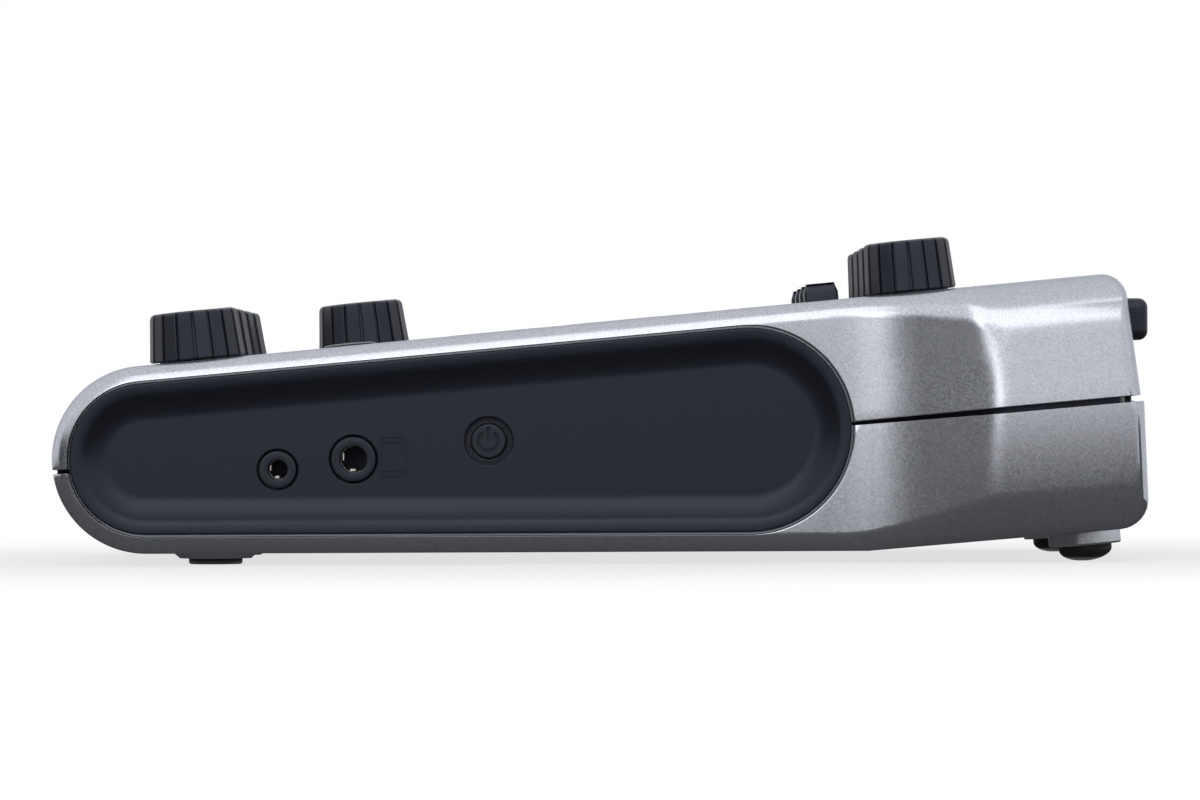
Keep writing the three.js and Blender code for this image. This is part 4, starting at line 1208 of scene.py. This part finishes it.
sign_y = -29.67 * mm
sign_z = 15.5 * mm
sign_height = 0.28 * mm
sign_line = 0.22 * mm
sign_bed = 0.05 * mm
device = in_mm(width=3.7, length=5.8, corner=0.7)
strokes = [frame_plate(device["width"], device["length"], device["corner"], sign_line)]
for share in (-0.34, 0.36):
    stroke = bar(device["width"] - 2 * sign_line, sign_line)
    strokes.append(placed(stroke, at(0, share * device["length"])))
sign = raised(together(strokes), -sign_bed, sign_height)
sign = placed(sign, to_right @ at(sign_y, sign_z, panel_floor_x))
piece("phone_sign", sign, "panel_plastic", even=False)

# %% [markdown]
# ## The side jacks
#
# Each jack's collar stands a hair proud of the panel's floor, in a thin dark gap. The bore starts with a
# rounded mouth, and a nickel sleeve and two leaf springs inside it catch small glints. The collar, the block
# behind it and the bore are separate solids that are joined and cut, as they are in the frame.

# %% Jacks
jack_mouth = 0.14 * mm
contact_slack = 0.01 * mm
sleeve_skin = 0.05 * mm
sleeve_front = -5.5 * mm
contact_back = -6.5 * mm
side_leaf = in_mm(thickness=0.16, corner=0.06, front=-1.6, lift=0.1)
low_leaf = in_mm(thickness=0.3, corner=0.1, front=-1.1, lift=0.3)


def jack_solid(jack, collar_length):
    radius, bore, mouth = jack["radius"], jack["bore"], jack_mouth
    back = -collar_length - jack_block["length"]
    collar = turned([(0, -collar_length - gap), (radius, -collar_length - gap),
                     *quarter(radius - mouth, -mouth, mouth, 0), (0, 0)], 64)
    plate = rounded_plate(jack_block["width"], jack_block["height"], jack_block["corner"])
    holder = pile(plate, [(back, 0), (-collar_length, 0)])
    drill = turned([(0, -jack_bore_depth), (bore, -jack_bore_depth), (bore, -mouth),
                    *reversed(quarter(bore + mouth, -mouth, mouth, 90)), (bore + mouth, overrun),
                    (0, overrun)])
    return cut(combined(collar, "UNION", [holder]), [drill])


def jack_contacts(jack):
    """A nickel sleeve deep in the bore and two leaf springs, one at its side and one below."""
    bore = jack["bore"] - contact_slack
    inner = bore - sleeve_skin
    sleeve = turned([(bore, sleeve_front), (bore, contact_back),
                     (inner, contact_back), (inner, sleeve_front)])
    side = rounded_plate(side_leaf["thickness"], 0.55 * bore, side_leaf["corner"])
    side = pile(side, [(contact_back, 0), (side_leaf["front"], 0)])
    low = rounded_plate(0.4 * bore, low_leaf["thickness"], low_leaf["corner"])
    low = pile(low, [(contact_back, 0), (low_leaf["front"], 0)])
    return together([sleeve, placed(side, at(side_leaf["lift"] - 0.8 * bore, 0.2 * bore)),
                     placed(low, at(-0.05 * bore, low_leaf["lift"] - 0.95 * bore))])


def add_jack(name, jack, collar_length, where, node):
    piece(name, placed(jack_solid(jack, collar_length), where), "socket_plastic", stands_for=[node])
    piece(f"{name}_contacts", placed(jack_contacts(jack), where), "contact_nickel")


add_jack("adapter_inlet", adapter_jack, side_collar, in_side(adapter_jack), "adapter_jack")
add_jack("phone_inlet", phone_jack, side_collar, in_side(phone_jack), "phone_jack")

# %% Headphone jacks in the nose
for number, x in enumerate(columns, 1):
    node = f"headphone_jack_{number}"
    add_jack(f"headphone_inlet_{number}", headphone_jack, nose_collar, in_nose(x), node)

# %% [markdown]
# ## The power key
#
# A round key sits in a ring-shaped recess. Its sign is an open ring with a bar, sunk into the face. The ring
# is an edge spun through most of a turn, and the bar a plate, and both cut the key's top. The pocket behind
# the key would show silver through the gap round it, so a dark washer lines its floor.

# %% The power key
power_face = jack_proud
cap_round = 0.25 * mm
sign_inner = 1.09 * mm
sign_outer = 1.66 * mm
sign_open = 70 * degree
sign_depth = 0.7 * mm
bar_width = 0.55 * mm
bar_top = 2 * mm
bar_foot = 0.25 * mm
washer_thickness = 0.2 * mm
washer_reach = 0.9 * gap


def open_ring(inner, outer, opening):
    """A flat ring that is open at the top."""
    shape = bmesh.new()
    start = math.pi / 2 + opening / 2
    ends = [shape.verts.new(radius * facing(start).to_3d()) for radius in (inner, outer)]
    edge = shape.edges.new(ends)
    bmesh.ops.spin(shape, geom=[*ends, edge], cent=(0, 0, 0), axis=(0, 0, 1),
                   angle=math.tau - opening, steps=40)
    return shape


stem_foot = inner_half_width - power_travel - gap - panel_floor_x
key_back = pocket_x - panel_floor_x
key = pile(disc(power["radius"], 64), [(key_back, 0), *rounding(power_face, cap_round)])
stem = pile(disc(stem_radius, 24), [(stem_foot, 0), (key_back + gap, 0)])
ring = raised(open_ring(sign_inner, sign_outer, sign_open), power_face - sign_depth, overrun)
stroke = placed(bar(bar_width, bar_top - bar_foot), at(0, (bar_top + bar_foot) / 2))
stroke = raised(stroke, power_face - sign_depth, overrun)
key = cut(combined(key, "UNION", [stem]), [ring, stroke])
key = placed(key, to_right @ at(power["y"], power["z"], panel_floor_x))
moving("power_key", key, "cap_plastic", "power_button")

washer = pile(disc(power["radius"] + washer_reach, 64), [(0, 0), (washer_thickness, 0)])
washer = cut(washer, [pile(disc(stem_radius), [(-overrun, -gap), (overrun, -gap)])])
washer = placed(washer, to_right @ at(power["y"], power["z"], pocket_x - power_travel - gap))
piece("power_washer", washer, "socket_plastic")

# %% [markdown]
# ## Ribbed dials
#
# Seen from the side a dial is a row of flat facets with narrow dark grooves between them. It starts as a
# turned solid with a bore for its shaft, spun in eight steps for each rib. Then each point on the grip is
# turned to its station on the rib and drawn in by the flat or the groove. The grooves run up through the
# shoulder and fade out at the top, where every rib ends in a short chamfer.

# %% Dials
knob_lift = 0.2 * mm
knob_shoulder = 0.65 * mm
knob_groove = 0.45 * mm
knob_bore_depth = 5 * mm
foot_chamfer = 0.25 * mm
bore_chamfer = 0.2 * mm
crown_steps = [(0.2 * mm, -0.2 * mm), (0.55 * mm, 0), (1.1 * mm, 0.05 * mm)]
half_crown_rise = 0.12 * mm
crown_rise = 0.15 * mm
ribs_from = 0.6 * mm
dial_crisp = 28 * degree
rib_count = 17
rib_stations = [(0.0, 1), (0.06, 1), (0.095, 0.18), (0.15, 0), (0.5, 0), (0.85, 0), (0.905, 0.18), (0.94, 1)]
flat_from = 0.15
pointer_line = in_mm(width=0.55, length=3.2, corner=0.25, rise=0.14, from_rim=2.4)


def dial_solid(knob):
    base, top, height = knob["base"], knob["top"], knob["height"]
    shoulder = height - knob_shoulder
    bore = shaft_radius + gap
    pitch = math.tau / rib_count
    sides = rib_count * len(rib_stations)
    grip = [(base + (top - base) * share, shoulder * share) for share in (0.33, 0.66, 1)]
    crown = [(top - inset, height + rise) for inset, rise in crown_steps]
    shape = turned([
        (0, knob_bore_depth), (bore, knob_bore_depth), (bore, bore_chamfer), (bore + bore_chamfer, 0),
        (base - foot_chamfer, 0), (base, foot_chamfer), *grip, *crown,
        (top * 0.5, height + half_crown_rise), (0, height + crown_rise),
    ], sides)
    for vert in shape.verts:
        reach = vert.co.xy.length
        if reach < top - ribs_from:
            continue
        step = round(math.atan2(vert.co.y, vert.co.x) / math.tau * sides) % sides
        rib, station = divmod(step, len(rib_stations))
        share, groove = rib_stations[station]
        off_middle = min(abs(share - 0.5), 0.5 - flat_from)
        flat = math.cos((0.5 - flat_from) * pitch) / math.cos(off_middle * pitch)
        fade = min(max((height - vert.co.z) / knob_shoulder, 0), 1)
        drawn = reach * flat - groove * knob_groove * fade
        vert.co.xy = drawn * facing((rib + share) * pitch)
    bmesh.ops.recalc_face_normals(shape, faces=shape.faces)
    return shape


def pointer(knob):
    """A white line on the dial's top that shows where it is turned to."""
    low, high = knob["height"] - sign_bed, knob["height"] + pointer_line["rise"]
    return placed(pile(plate_of(pointer_line), [(low, 0), (high, 0)]),
                  at(0, knob["top"] - pointer_line["from_rim"]))


def add_dial(name, knob, place, node):
    where = on_deck @ at(*place, knob_lift)
    moving(name, placed(dial_solid(knob), where), "knob_plastic", node, crisp=dial_crisp)
    piece(f"{name}_pointer", placed(pointer(knob), where), "white_ink", node, slot="cap_plastic", even=False)


for number, place in enumerate(volume_places, 1):
    add_dial(f"volume_dial_{number}", volume_knob, place, f"volume_knob_{number}")
for number, place in enumerate(gain_places, 1):
    add_dial(f"gain_dial_{number}", gain_knob, place, f"gain_knob_{number}")
add_dial("pad_level_dial", volume_knob, level_place, "pad_level_knob")

# %% [markdown]
# ## Keys and pads
#
# The mute keys and pads are soft-edged caps in close-fitting holes. Each has a flange that stops it under
# the deck and a stem that reaches its switch. The pads are crowned a little, so that a gloss rolls over
# them. The three transport keys are low domes with a printed sign for record, play and stop.

# %% Push keys
button_travel = 0.6 * mm
flange_thickness = 0.8 * mm
flange_margin = 0.7 * mm
tact_height = 2.1 * mm
under_deck = -(wall + gap)
stem_low = -board_depth + tact_height + button_travel + gap


def flat_key(plate, flange_plate, top_levels):
    """A cap with its flange and stem. Heights are counted from the deck."""
    cap = pile(plate, [(under_deck - flange_thickness / 2, 0), *top_levels])
    flange = pile(flange_plate, [(under_deck - flange_thickness, -flange_margin),
                                 (under_deck, -flange_margin)])
    stem = pile(disc(stem_radius, 24), [(stem_low, 0), (under_deck - flange_thickness / 2, 0)])
    return combined(cap, "UNION", [flange, stem])


flat_keys = [
    ("mute_key", "mute_button", mute, mute_places, "cap_plastic", 0.3, [(0.02, 1.2)]),
    ("pad_key", "sound_pad", pad, pad_places, "pad_rubber", 0.42, [(0.02, 1), (0.03, 1.7)]),
]
for name, node, size, places, finish, edge, crown in flat_keys:
    levels = rounding(size["proud"], edge * mm)
    levels += [(size["proud"] + rise * mm, inset * mm) for rise, inset in crown]
    for number, place in enumerate(places, 1):
        key = placed(flat_key(plate_of(size), plate_of(size), levels), on_deck @ at(*place))
        moving(f"{name}_{number}", key, finish, f"{node}_{number}")

# %% Transport keys and their signs
dome_steps = 6
dome_foot = 0.4
dome_inset = 0.55
dome_turns = [step / dome_steps * math.pi / 2 for step in range(1, dome_steps + 1)]
dome_levels = [(dome_foot * transport_proud, 0)]
dome_levels += [(transport_proud * (dome_foot + (1 - dome_foot) * math.sin(turn)),
                 dome_inset * transport_radius * (1 - math.cos(turn))) for turn in dome_turns]

ink_rise = 0.03 * mm
record_radius = 0.95 * mm
triangle = [(-0.75 * mm, -0.95 * mm), (1.05 * mm, 0), (-0.75 * mm, 0.95 * mm)]
square = [(x * 0.8 * mm, y * 0.8 * mm) for x, y in ((-1, -1), (1, -1), (1, 1), (-1, 1))]
transport_signs = [("record", disc(record_radius, 32), "red_ink"), ("play", polygon(triangle), "white_ink"),
                   ("stop", polygon(square), "white_ink")]
for (word, sign, ink), place in zip(transport_signs, transport_places):
    node = f"{word}_button"
    key = flat_key(disc(transport_radius, 64), disc(transport_radius), dome_levels)
    moving(f"{word}_key", placed(key, on_deck @ at(*place)), "cap_plastic", node)
    sign = placed(raised(sign, transport_proud - sign_bed, transport_proud + ink_rise), on_deck @ at(*place))
    piece(f"{word}_sign", sign, ink, node, slot="cap_plastic", even=False)

# %% [markdown]
# ## Input sliders
#
# A small switch before each gain dial slides between two inputs. Its grip is a block with a slanted front
# and three grip lines on top. A wide plate under the deck moves with it and keeps the slot dark.

# %% Input sliders
grip_lines = 3
line_width = 0.35 * mm
line_depth = 0.25 * mm
dust_plate = in_mm(width=9.2, corner=0.4)
slant_drop = 0.3 * mm
top_round = 0.25 * mm


def slider_solid():
    taper = (slider["length"] - slider["top"]) / 2
    foot = under_deck - flange_thickness / 2
    levels = [(foot, 0), (slider["proud"] / 2, 0), (slider["proud"] - slant_drop, 0.8 * taper)]
    grip = pile(plate_of(slider), [*levels, *rounding(slider["proud"], top_round, 0.85 * taper)[1:]])
    shield = rounded_plate(dust_plate["width"], slider["length"] + 2 * flange_margin, dust_plate["corner"])
    shield = pile(shield, [(under_deck - flange_thickness, 0), (under_deck, 0)])
    lines = []
    for number in range(grip_lines):
        across = (number - (grip_lines - 1) / 2) * slider["width"] / (grip_lines + 1)
        groove = raised(bar(line_width, slider["length"]), slider["proud"] - line_depth, overrun)
        lines.append(placed(groove, at(across, 0)))
    return cut(combined(grip, "UNION", [shield]), lines)


for number, (x, y) in enumerate(switch_places, 1):
    where = on_deck @ at(x - slider_travel / 2, y)
    moving(f"input_slider_{number}", placed(slider_solid(), where), "cap_plastic", f"input_switch_{number}")

# %% The display's glass
glass_round = 0.2 * mm
glass_plate = pile(plate_of(window, 8), [(-window["thickness"], 0), *rounding(0, glass_round)])
glass_plate = placed(glass_plate, on_deck @ at(window_x, control_row))
piece("screen_glass", glass_plate, "window_glass", stands_for=["display_window"])

# %% [markdown]
# ## The left side's ports
#
# The left panel holds a small reversible USB port and a slot for a memory card. The port is a drawn nickel
# shell with a dark tongue. The card slot is a dark frame whose mouth narrows to the card's thickness.

# %% USB port
port_face = panel_floor_x + jack_proud
shell_round = 0.15 * mm
tongue_size = {"width": 0.6 * usb["width"], "length": 0.2 * usb["height"], "corner": 0.25 * mm}

shell = pile(face_of(usb, 8), [(port_face - usb["depth"], 0), *rounding(port_face, shell_round)])
inside = pile(face_of(usb, 8),
              [(port_face - usb["bore"], usb["skin"]), (port_face - shell_round, usb["skin"]),
               (port_face, usb["skin"] - shell_round), (port_face + overrun, usb["skin"] - shell_round)])
shell = placed(cut(shell, [inside]), to_left @ at(usb_y, usb["z"]))
piece("usb_port", shell, "contact_nickel", stands_for=["usb_socket"])
tongue = pile(plate_of(tongue_size),
              [(port_face - usb["depth"] + usb["skin"], 0), *rounding(port_face - usb["skin"], shell_round)])
piece("usb_tongue", placed(tongue, to_left @ at(usb_y, usb["z"])), "socket_plastic")

# %% Card port
card_round = 0.2 * mm
mouth_round = 0.45 * mm
body = pile(face_of(card), [(port_face - card["depth"], 0), *rounding(port_face, card_round)])
mouth = pile(face_of(card_mouth),
             [(port_face - card_mouth["depth"], 0), (port_face - mouth_round, 0),
              (port_face, -0.5 * mouth_round), (port_face + overrun, -0.5 * mouth_round)])
body = placed(cut(body, [mouth]), to_left @ at(card_y, card["z"]))
piece("card_port", body, "socket_plastic", stands_for=["card_slot"])

# %% [markdown]
# ## Microphone sockets
#
# Each socket is a deep black barrel with an insert that leaves a ring-shaped well for the plug's shell.
# Three nickel tubes sit in the insert for the plug's pins. A latch with a rounded black tab above the
# barrel holds the plug, and pushing it in lets the plug go.

# %% Microphone sockets
rim = 0.35 * mm
housing_size = in_mm(width=11.4, corner=0.6, behind=1.4)
tube = in_mm(slack=0.02, skin=0.3, sink=0.7, lift=0.3)
latch_round = 1.3 * mm
bore_depth = socket_depth - socket_bore["floor"]
pin_places = [at(pin["place"] * math.cos(angle), -pin["place"] * math.sin(angle)) for angle in pin_angles]


def socket_solid():
    insert, bore = socket_bore["insert"], socket_bore["radius"]
    sunk = -socket_bore["sink"]
    barrel = turned([
        (0, -socket_depth), (socket_radius, -socket_depth),
        *quarter(socket_radius - rim, -rim, rim, 0),
        *quarter(bore + rim, -rim, rim, 90),
        (bore, -bore_depth), (insert, -bore_depth),
        *quarter(insert - rim, sunk - rim, rim, 0),
        (0, sunk),
    ], 96)
    housing = pile(rounded_plate(housing_size["width"], latch["height"], housing_size["corner"]),
                   [(latch_well_y - housing_size["behind"] - socket_face_y, 0),
                    (housing_rear - socket_face_y, 0)])
    housing = placed(housing, at(0, -(latch_middle - socket_z)))
    radius, mouth = pin["radius"], pin["radius"] + pin["countersink"]
    holes = []
    for place in pin_places:
        drill = turned([(0, -bore_depth + pin["floor"]), (radius, -bore_depth + pin["floor"]),
                        (radius, sunk - pin["countersink"]), (mouth, sunk), (mouth, overrun),
                        (0, overrun)], 32)
        holes.append(placed(drill, place))
    well = pile(face_of(latch), [(latch_well_y - socket_face_y, -gap), (overrun, -gap)])
    holes.append(placed(well, at(0, -(latch_middle - socket_z))))
    return cut(combined(barrel, "UNION", [housing]), holes)


def pin_tubes():
    outer, inner = pin["radius"] - tube["slack"], pin["radius"] - tube["skin"]
    front, back = -socket_bore["sink"] - tube["sink"], -bore_depth + pin["floor"] + tube["lift"]
    profile = [(outer, back), (outer, front), (inner, front), (inner, back)]
    return together([placed(turned(profile, 32), place) for place in pin_places])


def latch_solid():
    return pile(face_of(latch, 8), [(-latch["length"], 0), *rounding(0, latch_round, steps=8)])


for number, x in enumerate(columns, 1):
    where = at(x, socket_face_y, socket_z) @ to_rear
    piece(f"mic_socket_{number}", placed(socket_solid(), where), "socket_plastic",
          stands_for=[f"microphone_socket_{number}"])
    piece(f"mic_socket_{number}_contacts", placed(pin_tubes(), where), "contact_nickel")
    tab = placed(latch_solid(), at(x, half_depth, latch_middle) @ to_rear)
    moving(f"mic_latch_{number}", tab, "socket_plastic", f"socket_latch_{number}")

# %% [markdown]
# ## Underneath
#
# The battery door is a flat cover with a ribbed thumb rest. The front feet are flat rubber discs, and the
# rear ones are rubber domes that are flat only where they meet the desk. Six screws hold the cases.

# %% The battery door
door_half_length = bay_half_length - gap
door_half_depth = bay_half_depth - gap
door_corner = 0.8 * mm
door_round = 0.25 * mm
thumb_line = in_mm(width=12, length=0.7, corner=0.3, depth=0.35)
thumb_line_places = [-door_half_depth + (3 + 1.5 * number) * mm for number in range(6)]
door = pile(rounded_plate(2 * door_half_length, 2 * door_half_depth, door_corner),
            [(-door_thickness, 0), *rounding(0, door_round)])
thumb_lines = [placed(raised(plate_of(thumb_line), -thumb_line["depth"], overrun), at(0, y))
               for y in thumb_line_places]
door = placed(cut(door, thumb_lines), at(0, bay_y, underside_height) @ face_down)
moving("bay_door", door, "silver_paint", "battery_door")

# %% Feet
sole_levels = [(0, 0.3 * mm), (0.08 * mm, 0.1 * mm), (0.25 * mm, 0), (front_pad["height"], 0)]
dome_drop = heel_foot["dome"] - heel_foot["rim"]
dome = [(0, 0), (heel_foot["radius"], 0)]
dome += [(heel_foot["radius"] * math.cos(turn * degree),
          -heel_foot["rim"] - dome_drop * math.sin(turn * degree)) for turn in range(0, 91, 6)]
for word, side in (("left", -1), ("right", 1)):
    sole = placed(pile(disc(front_pad["radius"], 64), sole_levels), at(side * foot_x, front_foot_y))
    piece(f"front_pad_{word}", sole, "foot_rubber", stands_for=[f"front_foot_{word}"])
    foot = placed(turned(dome, 64), on_heel @ at(side * foot_x, boss_along, -boss_height))
    below = block(rear_half_width, half_depth, -overrun, 0)
    piece(f"heel_foot_{word}", cut(foot, [below]), "foot_rubber", stands_for=[f"rear_foot_{word}"])

# %% Case screws
screw = in_mm(radius=2.4, head=0.7, edge=0.3)
cross = in_mm(width=0.6, length=2.6, depth=0.5)
profile = [(0, 0), (screw["radius"], 0), *quarter(screw["radius"] - screw["edge"],
                                                  screw["head"] - screw["edge"], screw["edge"], 0),
           (0, screw["head"])]
for number, (x, y) in enumerate(pit_places, 1):
    slots = [raised(placed(bar(cross["width"], cross["length"]), Matrix.Rotation(turn * degree, 4, "Z")),
                    screw["head"] - cross["depth"], overrun) for turn in (20, 110)]
    floor = floor_height(y) + pit_depth
    head = placed(cut(turned(profile, 40), slots), at(x, y, floor) @ face_down)
    piece(f"case_screw_{number}", head, "socket_plastic", even=False)

# %% [markdown]
# ## Printing on the deck
#
# The deck carries only plain numbers for the four columns and dot scales round the dials, printed in dark
# ink. Built-in text is turned into a flat mesh first, then raised three hundredths of a millimetre.

# %% Printed numbers and scales
moulded("print_ink", (0.02, 0.021, 0.023), 0.5, 0.1, 0.002, dust=0.0)
ink_low = -0.02 * mm
number_height = 4 * mm
number_ahead = 11 * mm
wide_scale = 8.4 * mm
narrow_scale = 8 * mm
dot_radius = 0.3 * mm
dot_count = 11
dot_sweep = 300 * degree


def number_plate(text, height):
    curve = bpy.data.curves.new("number", "FONT")
    curve.body = text
    curve.size = height
    curve.align_x = curve.align_y = "CENTER"
    curve.resolution_u = 4
    holder = bpy.data.objects.new("number", curve)
    bpy.context.scene.collection.objects.link(holder)
    drawn = holder.evaluated_get(bpy.context.evaluated_depsgraph_get())
    shape = bmesh.new()
    shape.from_mesh(drawn.to_mesh())
    drawn.to_mesh_clear()
    bpy.data.objects.remove(holder)
    bpy.data.curves.remove(curve)
    bmesh.ops.remove_doubles(shape, verts=shape.verts, dist=weld)
    return shape


def dot_scale(radius):
    turns = [math.pi / 2 + dot_sweep * (0.5 - number / (dot_count - 1)) for number in range(dot_count)]
    return [placed(disc(dot_radius, 12), Matrix.Translation(radius * facing(turn).to_3d()))
            for turn in turns]


prints = [placed(number_plate(str(number), number_height), at(x, volume_row + number_ahead))
          for number, x in enumerate(columns, 1)]
for place in volume_places:
    prints += [placed(dot, at(*place)) for dot in dot_scale(wide_scale)]
for place in gain_places:
    prints += [placed(dot, at(*place)) for dot in dot_scale(narrow_scale)]
prints += [placed(dot, at(*level_place)) for dot in dot_scale(wide_scale)]
prints = raised(together(prints), ink_low, ink_rise)
piece("deck_print", placed(prints, on_deck), "print_ink", slot="cap_plastic", even=False)

# %% [markdown]
# ## Stage and light
#
# The recorder stands on a pale floor in a white room. What makes a metallic coat readable is contrast, so
# the light is built as in a studio: a wide softbox over the camera for the bright band on the shoulders, a
# tall one beside it for the streaks along the flare, and three dark cards that only show in reflections. A
# low one stands before the nose, a tall one before the flare, and one lies on the floor before the recorder,
# so that its lower half fades as it turns down.

# %% The floor
def standing(name, shape, matrix, finish):
    """A stage object: it isn't part of the recorder."""
    made = as_object(name, placed(shape, matrix))
    made.data.materials.append(finish.material)
    return made


def shown_as(finish, factor, strength):
    """Mixes a glow over a finish."""
    glow = finish.node("ShaderNodeEmission", {}, {"Color": grey(1), "Strength": strength}, "Emission")
    under = Signal(finish, finish.shader.outputs["BSDF"])
    mixed = finish.node("ShaderNodeMixShader", {}, {0: factor, 1: under, 2: glow}, "Shader")
    finish.feed(finish.tree.nodes["Material Output"].inputs["Surface"], mixed)


floor_side = 12
floor_finish = Finish("studio_floor", Base_Color=grey(0.8), Roughness=0.9)
seen = sum((floor_finish.node("ShaderNodeLightPath", {}, {}, f"Is {kind} Ray")
            for kind in ("Camera", "Glossy", "Transmission")), 0)
reach = floor_finish.node("ShaderNodeVectorMath", {"operation": "LENGTH"}, {0: floor_finish.place}, "Value")
shadow_reach = 0.07
shadow_end = 0.22
shadow_paling = 0.72
fade = floor_finish.node("ShaderNodeMapRange", {"interpolation_type": "SMOOTHSTEP"}, {
    "Value": reach, "From Min": shadow_reach, "From Max": shadow_end,
    "To Min": shadow_paling, "To Max": 1.0}, "Result")
shown_as(floor_finish, seen * fade, 1.0)
standing("studio_floor", bar(floor_side, floor_side), Matrix(), floor_finish)

# %% The world
world = bpy.data.worlds.new("studio")
bpy.context.scene.world = world
world.use_nodes = True
nodes, links = world.node_tree.nodes, world.node_tree.links
ambient = 0.5
rays = nodes.new("ShaderNodeLightPath")
indirect = nodes.new("ShaderNodeMapRange")
indirect.inputs["To Min"].default_value = 1.0
indirect.inputs["To Max"].default_value = ambient
links.new(rays.outputs["Is Diffuse Ray"], indirect.inputs["Value"])
links.new(indirect.outputs["Result"], nodes["Background"].inputs["Strength"])
nodes["Background"].inputs["Color"].default_value = (1, 1, 1, 1)

# %% The lamps
look_at = Vector((0, 0, 0.02))


def aimed(place):
    """A place, turned so that its -Z looks at the recorder."""
    turn = (look_at - Vector(place)).to_track_quat("-Z", "Y")
    return Matrix.Translation(place) @ turn.to_matrix().to_4x4()


def toward(azimuth, elevation, distance):
    """A place seen from the recorder: azimuth 0 is the camera's side, and turns to the rear."""
    flat = distance * math.cos(elevation * degree)
    return (flat * math.cos(azimuth * degree), flat * math.sin(azimuth * degree),
            distance * math.sin(elevation * degree))


def softbox(name, place, width, height, watts):
    lamp = bpy.data.lights.new(name, "AREA")
    lamp.shape = "RECTANGLE"
    lamp.size = width
    lamp.size_y = height
    lamp.energy = watts
    made = bpy.data.objects.new(name, lamp)
    bpy.context.scene.collection.objects.link(made)
    made.matrix_world = aimed(place)


upright = Matrix.Rotation(90 * degree, 4, "X")
softbox("over_camera", toward(0, 39, 1.5), 0.85, 1.15, 3.5)
softbox("beside_camera", toward(-13.5, 16, 1.8), 0.3, 0.8, 1.8)

# %% The dark cards
def dark_card(name, matrix, width, height, tone):
    """A card that shows only in reflections."""
    finish = Finish(name, Base_Color=grey(0.0), Roughness=1.0)
    shown_as(finish, 1.0, tone)
    made = standing(name, bar(width, height), matrix, finish)
    for ray in ("camera", "diffuse", "transmission", "volume_scatter", "shadow"):
        setattr(made, f"visible_{ray}", False)


dark_card("card_before_nose", at(0.5, -0.5, 0) @ upright, 0.7, 0.28, 0.0)
dark_card("card_before_flare", at(1.15, -0.5, 0) @ upright, 0.6, 0.7, 0.0)
dark_card("card_on_floor", at(0.2, 0, 0.0005), 0.52, 1.2, 0.1)

# %% Finish
bpy.context.scene.view_settings.view_transform = "Standard"
print("pieces:", len(made_pieces), "faces:", sum(len(made.data.polygons) for made in made_pieces))
